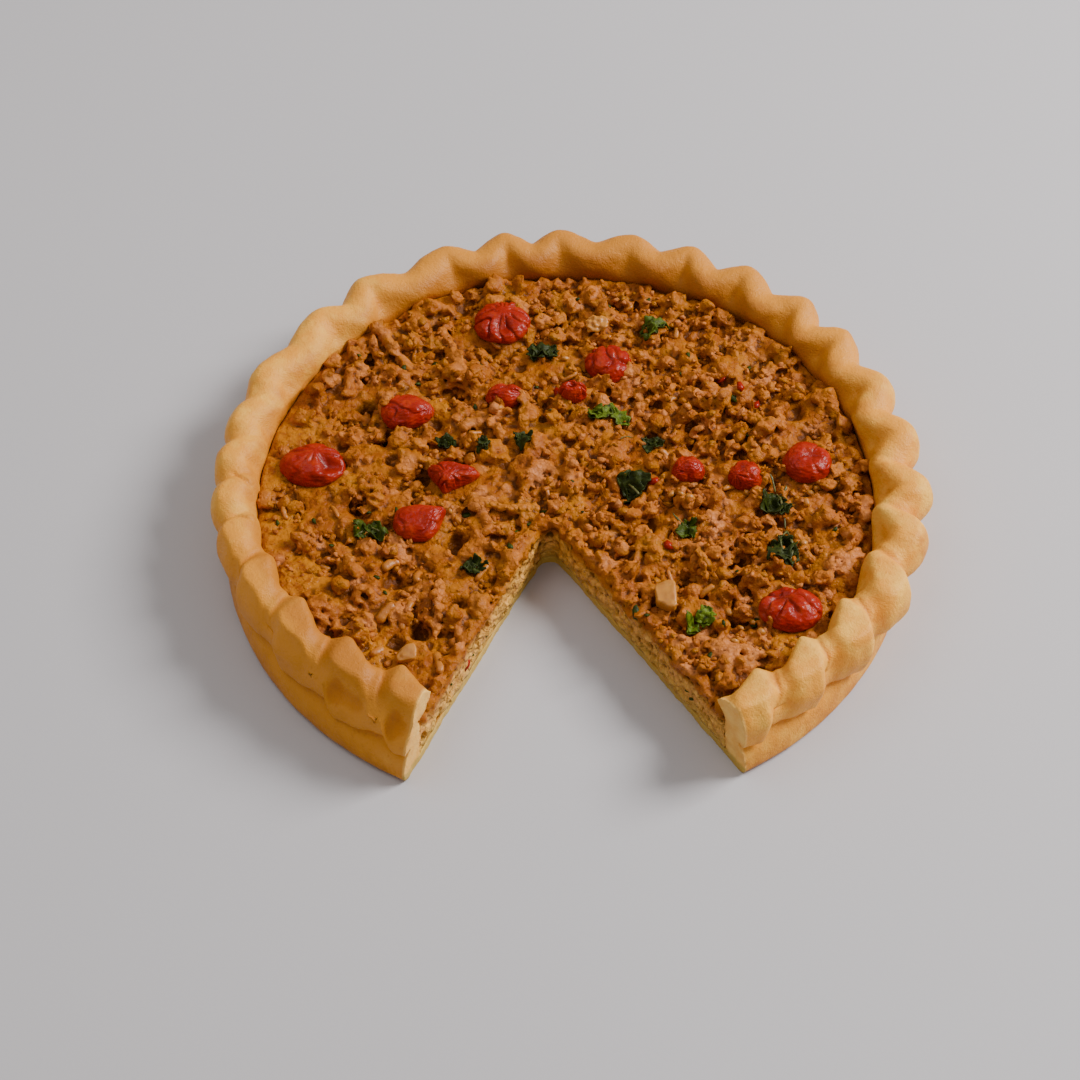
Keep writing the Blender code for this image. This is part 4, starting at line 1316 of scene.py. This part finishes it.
def model_tomato(name, form):
    """Fold and hollow a ball into one tomato piece in the space of its solid."""
    heading, taper, fold_along, fold_across, folds, fold_depth, *rest = form
    hollow_along, hollow_across, hollow_depth, back = rest
    low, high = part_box(name)
    half = np.array((high - low) / 2)
    middle = np.array((high + low) / 2)
    deselect()
    bpy.ops.mesh.primitive_ico_sphere_add(subdivisions=6, radius=1)
    piece = bpy.context.object
    unit = points_of(piece)
    seed = float(name[-2:]) * 3.7
    angle = math.radians(heading)
    turn = np.array(((math.cos(angle), math.sin(angle)), (-math.sin(angle), math.cos(angle))))
    plan = unit[:, :2] @ turn.T
    plan[:, 1] *= 1 - taper * smooth_step((plan[:, 0] + 0.5) / 1.5)
    plan[:, 0] = np.maximum(plan[:, 0], -back - 0.12 * (plan[:, 0] + 1))
    away = plan - np.array((fold_along, fold_across))
    bearing = np.arctan2(away[:, 1], away[:, 0])
    distance = np.linalg.norm(away, axis=1)
    ring = np.column_stack([np.cos(bearing), np.sin(bearing), 0.6 * distance]) * folds / 5
    upper = smooth_step((unit[:, 2] + 0.25) / 0.5)
    crease = np.exp(-(grain(ring, 1.0, seed) / 0.13) ** 2) * smooth_step(distance / 0.45) * upper
    crease *= 0.65 + 0.6 * grain(unit, 0.6, seed + 5)
    gap = np.linalg.norm(plan - np.array((hollow_along, hollow_across)), axis=1)
    hollow = np.exp(-(gap / 0.34) ** 2) * upper
    plump = 1 + 0.07 * grain(unit, 0.9, seed + 1) + 0.03 * grain(unit, 0.35, seed + 2)
    flat = plan @ turn * plump[:, None]
    made = np.column_stack([flat, unit[:, 2] * plump]) * half + middle
    made[:, 2] -= hollow_depth * MM * hollow
    inward = unit * np.array((1.0, 1.0, 0.7))
    made -= inward * (fold_depth * MM * crease)[:, None]
    made += unit * (0.2 * MM * grain(unit, 0.14, seed + 3))[:, None]
    set_points(piece, made)
    lines = np.column_stack([bearing * 3.2, distance * 0.8, np.full(len(unit), seed)])
    store(piece, "streak", 0.5 + 0.5 * grain(lines, 1.0, seed))
    # Crease: painted shade in the folds and the hollow
    store(piece, "crease", np.clip(0.9 * crease + 0.8 * hollow - 0.1, 0, 1))
    return piece


# The leaves that are still bright green, the others being dark
FRESH_LEAVES = {"leaf_14": 1.0, "leaf_03": 0.8, "leaf_02": 0.5, "leaf_13": 0.4, "leaf_07": 0.35}


def surface_tree():
    """The filling's surface, for laying things on it."""
    body = bpy.data.objects["filling_body"]
    return BVHTree.FromObject(body, bpy.context.evaluated_depsgraph_get())


def rest_height(tree, x, y):
    """The filling's height at a place."""
    hit = tree.ray_cast(Vector((x, y, SLICE_HIGH)), Vector((0, 0, -1)))
    return hit[0].z if hit[0] else FILLING_LEVEL


def leaflet(tree, centre, heading, length, draw):
    """The points and faces of one crumpled leaflet that lies on the filling."""
    rows, columns = 15, 9
    wide = draw.uniform(0.55, 0.75)
    lobes = draw.uniform(2.4, 3.4)
    seed = draw.uniform(0, 50)
    points = []
    for row in range(rows):
        along = row / (rows - 1)
        edge = math.sin(math.pi * min(1.0, along * 0.96 + 0.03)) ** 0.75
        edge *= 1 + 0.28 * math.cos(lobes * math.tau * along)
        for column in range(columns):
            side = 2 * column / (columns - 1) - 1
            step = Vector(((along - 0.5) * length, side * edge * wide * length / 2))
            x = centre.x + step.x * math.cos(heading) - step.y * math.sin(heading)
            y = centre.y + step.x * math.sin(heading) + step.y * math.cos(heading)
            curl = noise.noise(Vector((x, y, seed * MM)) / (1.9 * MM)) * 2.2 + 0.7 * side * side
            points.append((x, y, rest_height(tree, x, y) + (0.5 + curl) * MM))
    points = np.array(points)
    grid = points[:, 2].reshape(rows, columns)
    for _ in range(2):
        padded = np.pad(grid, 1, mode="edge")
        near = (padded[:-2, 1:-1] + padded[2:, 1:-1] + padded[1:-1, :-2] + padded[1:-1, 2:]) / 4
        grid = 0.5 * grid + 0.5 * near
    points[:, 2] = grid.ravel()
    faces = [
        (row * columns + column, row * columns + column + 1,
         (row + 1) * columns + column + 1, (row + 1) * columns + column)
        for row in range(rows - 1) for column in range(columns - 1)
    ]
    return points, faces


def model_leaf(name, tree, draw):
    """Five crumpled leaflets in the place of one leaf."""
    low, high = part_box(name)
    middle = (low + high) / 2
    size = (high - low).xy
    base = math.atan2(size.y, size.x) * draw.choice((-1, 1))
    reach = max(size)
    parts = []
    for turn in range(5):
        heading = base + turn * 2.2 + draw.uniform(-0.6, 0.6)
        shift = Vector((draw.uniform(-0.28, 0.28) * size.x, draw.uniform(-0.28, 0.28) * size.y, 0))
        length = reach * draw.uniform(0.4, 0.66)
        points, faces = leaflet(tree, middle + shift, heading, length, draw)
        part = new_mesh("leaflet", points + np.array((0, 0, 0.25 * MM * turn)), faces)
        apply_modifier(part, "SOLIDIFY", thickness=0.4 * MM, offset=0.0)
        parts.append(part)
    leaf = join(parts, name + "_leaf")
    outward(leaf)
    store(leaf, "fresh", np.full(len(leaf.data.vertices), FRESH_LEAVES.get(name, 0.08)))
    return leaf


# The onion pieces: turn in degrees, squareness of the outline, taper, tilt and crumbliness in mm
ONION_FORMS = {
    "onion_slice_01": (105, 4.5, 0.7, 0.25, 0.3),
    "onion_slice_02": (200, 6.0, 0.5, 0.2, 0.3),
    "onion_slice_03": (20, 2.5, 0.0, 0.1, 1.2),
}


def model_onion(name, form):
    """Press a ball flat into one onion piece with a squarish outline."""
    heading, square, taper, tilt, crumble = form
    low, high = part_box(name)
    half = np.array((high - low) / 2)
    middle = np.array((high + low) / 2)
    deselect()
    bpy.ops.mesh.primitive_ico_sphere_add(subdivisions=5, radius=1)
    piece = bpy.context.object
    unit = points_of(piece)
    power = 2 / square
    made = np.sign(unit) * np.abs(unit) ** power
    angle = math.radians(heading)
    along = made[:, 0] * math.cos(angle) + made[:, 1] * math.sin(angle)
    made[:, :2] *= (1 - taper * smooth_step((along + 0.4) / 1.4))[:, None]
    made = made * np.maximum(half, 1.1 * MM) + middle
    made[:, 2] += tilt * (made[:, 0] - middle[0]) + 0.5 * MM * grain(made, 6 * MM, 2) - 0.7 * MM
    made += normals_of(piece) * (crumble * MM * grain(made, 1.6 * MM, 7))[:, None]
    set_points(piece, made)
    return piece


# Stems among the leaves: both ends as pixels of the photo
HERB_STEMS = (
    (769, 472, 776, 486), (776, 486, 782, 503), (782, 503, 786, 522), (786, 522, 793, 541),
    (793, 541, 790, 558), (779, 489, 787, 480), (783, 505, 775, 512), (788, 524, 781, 534),
    (781, 534, 784, 549), (672, 508, 690, 524), (628, 478, 640, 494), (356, 530, 368, 519),
    (370, 520, 382, 531), (545, 404, 552, 412), (640, 428, 656, 434), (620, 440, 634, 430),
)
# Bits seen in the cuts: pixel, radius in mm, and which cut
CUT_HERBS = (
    (486, 634, 1.5, SLICE_LEFT), (450, 684, 1.1, SLICE_LEFT), (472, 655, 0.7, SLICE_LEFT),
    (692, 699, 1.6, SLICE_RIGHT), (636, 613, 1.6, SLICE_RIGHT), (688, 690, 1.0, SLICE_RIGHT),
)
# Bits of tomato, as pixels of the photo
TOMATO_BITS = (
    (722, 372), (652, 478), (756, 396), (740, 388), (606, 408), (668, 544), (560, 388), (776, 600),
)
# Strips of cheese whose place shows: both ends as pixels of the photo
CHEESE_STRIPS = (
    (377, 619, 396, 602), (400, 625, 413, 595), (419, 564, 417, 578), (434, 644, 440, 672),
    (369, 652, 383, 641), (382, 566, 399, 556), (474, 575, 489, 560), (503, 402, 516, 393),
    (468, 432, 482, 428), (560, 374, 578, 368), (596, 336, 612, 330), (722, 488, 735, 482),
    (668, 560, 676, 575), (700, 590, 716, 583), (640, 520, 652, 534), (350, 300, 362, 309),
    (330, 500, 338, 515), (300, 520, 306, 536), (282, 500, 286, 516), (317, 556, 330, 562),
)
# Pale grains whose place shows, as pixels of the photo
GRAINS = (
    (753, 613), (762, 627), (802, 608), (686, 482), (681, 497), (804, 540), (819, 480), (749, 487),
    (692, 490), (729, 604), (741, 620), (775, 600), (450, 508), (456, 516), (500, 408), (566, 355),
    (690, 500), (672, 488), (812, 486), (735, 640),
)


def resting(tree, draw, count):
    """Random places on the filling, clear of the cut, the rim and the toppings, as x, y and z."""
    spots = topping_spots()
    places = []
    while len(places) < count:
        radius = (FILLING_RADIUS - 2.5 * MM) * math.sqrt(draw.random())
        angle = draw.uniform(0, math.tau)
        x, y = radius * math.cos(angle), radius * math.sin(angle)
        if cut_depth(np.array([(x, y)]))[0] < 0.9 * MM:
            continue
        if radius > FILLING_RADIUS - 2 * MM - 1.4 * rim_at(math.degrees(angle))[0]:
            continue
        if any(math.hypot(x - px, y - py) < 0.9 * reach for px, py, reach in spots):
            continue
        places.append((x, y, rest_height(tree, x, y)))
    return np.array(places)


def strip(start, end, width, draw):
    """The points and faces of one soft strip between two places."""
    rings, sides = 9, 8
    along = (end - start).normalized()
    beside = along.cross(Vector((0, 0, 1))).normalized()
    above = beside.cross(along)
    bow = draw.uniform(-0.8, 0.8) * MM
    points = []
    for ring in range(rings):
        share = ring / (rings - 1)
        middle = start.lerp(end, share)
        middle += (beside * bow + above * 0.4 * MM) * math.sin(math.pi * share)
        size = width / 2 * (1 - abs(2 * share - 1) ** 12) ** 0.5 * draw.uniform(0.9, 1.1)
        for side in range(sides):
            angle = math.tau * (side + 0.5) / sides
            square = 0.86 / max(abs(math.cos(angle)), abs(math.sin(angle)))
            out = beside * math.cos(angle) + above * 0.8 * math.sin(angle)
            points.append(middle + out * size * square)
    faces = [
        (ring * sides + side, ring * sides + (side + 1) % sides,
         (ring + 1) * sides + (side + 1) % sides, (ring + 1) * sides + side)
        for ring in range(rings - 1) for side in range(sides)
    ]
    return points, faces


def joined_strips(name, ends, widths, draw):
    """One mesh of strips between pairs of places."""
    points, faces = [], []
    for (start, end), width in zip(ends, widths):
        strip_points, strip_faces = strip(Vector(start), Vector(end), width, draw)
        faces += [[corner + len(points) for corner in face] for face in strip_faces]
        points += [tuple(point) for point in strip_points]
    strips = new_mesh(name, points, faces)
    outward(strips)
    places = points_of(strips)
    uneven = 0.4 * MM * grain(places, 1.8 * MM, 6)
    set_points(strips, places + normals_of(strips) * uneven[:, None])
    return strips


class TART_OT_tomatoes(bpy.types.Operator):
    """Make the tomato pieces."""

    bl_idname = "tart.tomatoes"
    bl_label = "Tomato Pieces"

    def execute(self, context):
        material = tomato_finish(context.scene.tart_toppings)
        for name, form in TOMATO_FORMS.items():
            piece = model_tomato(name, form)
            finish_piece(piece, "baked_" + name, material, [name])
        tree = surface_tree()
        spots = [at_pixel(*pixel) for pixel in TOMATO_BITS]
        places = [(*spot, rest_height(tree, *spot)) for spot in spots] + [tuple(at_cut(466, 664))]
        draw = random.Random(TOMATO_SEED)
        radii = [draw.uniform(1.1, 2.2) * MM for _ in places]
        bits = craggy_balls(
            "tomato_bits", places, radii, TOMATO_SEED + 1, (1.4, 0.9, 0.6), (0.7, 1.3))
        # The bits get an even streak and an even crease, a little painted shade
        for mark in ("streak", "crease"):
            store(bits, mark, np.full(len(bits.data.vertices), 0.3))
        finish_piece(bits, "tomato_bits", material)
        return {"FINISHED"}


class TART_OT_herbs(bpy.types.Operator):
    """Make the leaves and the bits of herb."""

    bl_idname = "tart.herbs"
    bl_label = "Herbs"

    def execute(self, context):
        values = context.scene.tart_toppings
        material = herb_finish(values)
        tree = surface_tree()
        draw = random.Random(HERB_SEED)
        for name in sorted(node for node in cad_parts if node.startswith("leaf")):
            leaf = model_leaf(name, tree, draw)
            finish_piece(leaf, "crumpled_" + name, material, [name])
        places = resting(tree, draw, values.herbs)
        radii = np.array([draw.uniform(0.6, 1.5) * MM for _ in places])
        places[:, 2] += 0.25 * MM
        in_cuts = [at_cut(across, down, heading) for across, down, _, heading in CUT_HERBS]
        places = np.vstack([places, in_cuts])
        radii = np.append(radii, [size * MM for _, _, size, _ in CUT_HERBS])
        bits = craggy_balls(
            "herb_bits", places, radii, HERB_SEED + 1, (1.3, 0.8, 0.4), (0.6, 1.4))
        store(bits, "fresh", np.full(len(bits.data.vertices), 0.2))
        finish_piece(bits, "herb_bits", material)
        ends = []
        for x0, y0, x1, y1 in HERB_STEMS:
            pair = [at_pixel(x0, y0), at_pixel(x1, y1)]
            ends.append([(*place, rest_height(tree, *place) + 1.1 * MM) for place in pair])
        stems = joined_strips("herb_stems", ends, [0.75 * MM] * len(ends), draw)
        store(stems, "tint", np.full(len(stems.data.vertices), 0.5))
        stem = cheese_finish("herb_stem", (0.14, 0.13, 0.03), (0.05, 0.06, 0.008))
        finish_piece(stems, "herb_stems", stem)
        return {"FINISHED"}


class TART_OT_crumbs(bpy.types.Operator):
    """Make the onion, the strips of cheese, the grains and the loose crumbs."""

    bl_idname = "tart.crumbs"
    bl_label = "Onion, Cheese and Crumbs"

    def execute(self, context):
        values = context.scene.tart_toppings
        tree = surface_tree()
        draw = random.Random(CRUMB_SEED)
        onion = onion_finish()
        for name, form in ONION_FORMS.items():
            finish_piece(model_onion(name, form), "cooked_" + name, onion, [name])
        self.lay_crumbs(tree, draw, values.crumbs)
        self.lay_strips(tree, draw, values.strips)
        self.lay_grains(tree, draw)
        return {"FINISHED"}

    def lay_crumbs(self, tree, draw, count):
        """Loose crumbs all over, coloured like the filling."""
        places = resting(tree, draw, round(1.5 * count))
        places = places[np.argsort(bareness(places[:, :2]), kind="stable")][:count]
        radii = np.array([draw.uniform(0.5, 0.9 + 1.3 * draw.random() ** 2) * MM for _ in places])
        places[:, 2] += 0.15 * radii
        crumbs = craggy_balls(
            "loose_crumbs", places, radii, CRUMB_SEED + 1, (1.45, 1.0, 0.65), (0.7, 1.35), 1.0)
        each = len(crumbs.data.vertices) // len(places)
        tints = np.repeat([draw.random() for _ in places], each)
        store(crumbs, "tint", tints)
        store(crumbs, "flake", np.repeat([draw.choice((0.3, 1.0, 1.0)) for _ in places], each))
        # A random hollow number for each crumb, so the painted highlight pales some crumbs more
        # than others
        store(crumbs, "hollow", np.repeat([draw.uniform(0.2, 0.6) for _ in places], each))
        material = filling_finish(bpy.context.scene.tart_filling)
        finish_piece(crumbs, "loose_crumbs", material)

    def lay_strips(self, tree, draw, count):
        """Strips where the photograph shows them, then more at random."""
        ends = []
        for x0, y0, x1, y1 in CHEESE_STRIPS:
            start, end = at_pixel(x0, y0), at_pixel(x1, y1)
            heights = [rest_height(tree, *place) + 0.1 * MM for place in (start, end)]
            ends.append(((*start, heights[0]), (*end, heights[1])))
        for x, y, _ in resting(tree, draw, max(0, count - len(ends))):
            angle = draw.uniform(0, math.tau)
            half = draw.uniform(1.6, 3.4) * MM
            step = Vector((math.cos(angle) * half, math.sin(angle) * half))
            start, end = Vector((x, y)) - step, Vector((x, y)) + step
            if min(cut_depth(np.array([start, end]))) < 1.5 * MM:
                continue
            heights = [rest_height(tree, *place) + 0.1 * MM for place in (start, end)]
            ends.append(((*start, heights[0]), (*end, heights[1])))
        ranges = [(2.6, 3.8)] * 6 + [(1.5, 2.5)] * (len(ends) - 6)
        widths = [draw.uniform(*limits) * MM for limits in ranges]
        strips = joined_strips("cheese_strips", ends, widths, draw)
        store(strips, "tint", 0.5 + 0.5 * grain(points_of(strips), 9 * MM, 3))
        cheese = cheese_finish("melted_cheese", (0.46, 0.155, 0.005), (0.4, 0.115, 0.003))
        finish_piece(strips, "cheese_strips", cheese)

    def lay_grains(self, tree, draw):
        """Small pale grains, most of them beside the tomatoes."""
        places = np.array([(*at_pixel(*pixel), 0.0) for pixel in GRAINS])
        places[:, 2] = [rest_height(tree, x, y) + 0.2 * MM for x, y, _ in places]
        radii = np.array([draw.uniform(1.1, 1.6) * MM for _ in places])
        grains = craggy_balls(
            "pale_grains", places, radii, CRUMB_SEED + 3, (1.5, 0.9, 0.85), (0.94, 1.06))
        store(grains, "tint", np.full(len(grains.data.vertices), 0.3))
        pale = cheese_finish("pale_grain", (0.46, 0.17, 0.012), (0.4, 0.125, 0.006))
        finish_piece(grains, "pale_grains", pale)


class TART_OT_case(bpy.types.Operator):
    """Make the pastry case."""

    bl_idname = "tart.case"
    bl_label = "Pastry Case"

    def execute(self, context):
        values = context.scene.tart_case
        case = model_case(values)
        mark_case(case)
        finish_piece(case, "pastry_case", pastry_finish(values), ["crust"])
        return {"FINISHED"}


class TART_OT_filling(bpy.types.Operator):
    """Make the baked filling."""

    bl_idname = "tart.filling"
    bl_label = "Baked Filling"

    def execute(self, context):
        values = context.scene.tart_filling
        body = model_filling(values)
        finish_piece(body, "filling_body", filling_finish(values), ["filling"])
        return {"FINISHED"}


def aim(thing, target):
    """Turn a light to face a place."""
    thing.rotation_euler = (Vector(target) - thing.location).to_track_quat("-Z", "Y").to_euler()


class TART_OT_stage(bpy.types.Operator):
    """Lay the floor, hang the lights and set the camera."""

    bl_idname = "tart.stage"
    bl_label = "Floor, Lights and Camera"

    def execute(self, context):
        values = context.scene.tart_stage
        deselect()
        bpy.ops.mesh.primitive_grid_add(x_subdivisions=12, y_subdivisions=12, size=FLOOR_SIZE)
        floor = context.object
        floor.name = "floor"
        floor.data.materials.append(floor_finish(values))
        for name, (place, size, share) in LIGHTS.items():
            deselect()
            bpy.ops.object.light_add(type="AREA", location=place)
            light = context.object
            light.name = name
            light.data.energy = values.key * share
            light.data.size = size
            aim(light, (0, 0, 0))
        world = context.scene.world or bpy.data.worlds.new("room")
        context.scene.world = world
        world.use_nodes = True
        background = world.node_tree.nodes["Background"]
        background.inputs["Color"].default_value = ROOM_COLOUR
        background.inputs["Strength"].default_value = values.room
        deselect()
        bpy.ops.object.camera_add()
        camera = context.object
        camera.name = "photo_camera"
        camera.data.sensor_width = SENSOR_MM
        camera.data.lens = FOCAL_PIXELS / PHOTO_PIXELS * SENSOR_MM
        camera.data.clip_start = 50 * MM
        camera.matrix_world = camera_matrix()
        context.scene.camera = camera
        return {"FINISHED"}


class TART_PT_panel(bpy.types.Panel):
    """The tart's pieces and values in the sidebar."""

    bl_label = "Tuna Tart"
    bl_space_type = "VIEW_3D"
    bl_region_type = "UI"
    bl_category = "Tart"

    def draw(self, context):
        for group in settings():
            box = self.layout.box()
            for name in group.bl_rna.properties.keys():
                if name not in ("rna_type", "name"):
                    box.prop(group, name)
        for maker in MAKERS:
            self.layout.operator(maker.bl_idname)


GROUPS = {
    "tart_case": CaseSettings,
    "tart_filling": FillingSettings,
    "tart_toppings": ToppingSettings,
    "tart_stage": StageSettings,
}
MAKERS = (
    TART_OT_case, TART_OT_filling, TART_OT_tomatoes, TART_OT_herbs, TART_OT_crumbs, TART_OT_stage,
)


def register():
    """Make the values, operators and panel known to Blender."""
    for kind in (*GROUPS.values(), *MAKERS, TART_PT_panel):
        bpy.utils.register_class(kind)
    for name, kind in GROUPS.items():
        setattr(bpy.types.Scene, name, PointerProperty(type=kind))


def unregister():
    """Take the values, operators and panel away again."""
    for name in GROUPS:
        delattr(bpy.types.Scene, name)
    for kind in reversed((*GROUPS.values(), *MAKERS, TART_PT_panel)):
        bpy.utils.unregister_class(kind)


def main():
    """Make every piece in order."""
    register()
    bpy.ops.tart.case()
    bpy.ops.tart.filling()
    bpy.ops.tart.tomatoes()
    bpy.ops.tart.herbs()
    bpy.ops.tart.crumbs()
    bpy.ops.tart.stage()


if __name__ == "__main__":
    main()
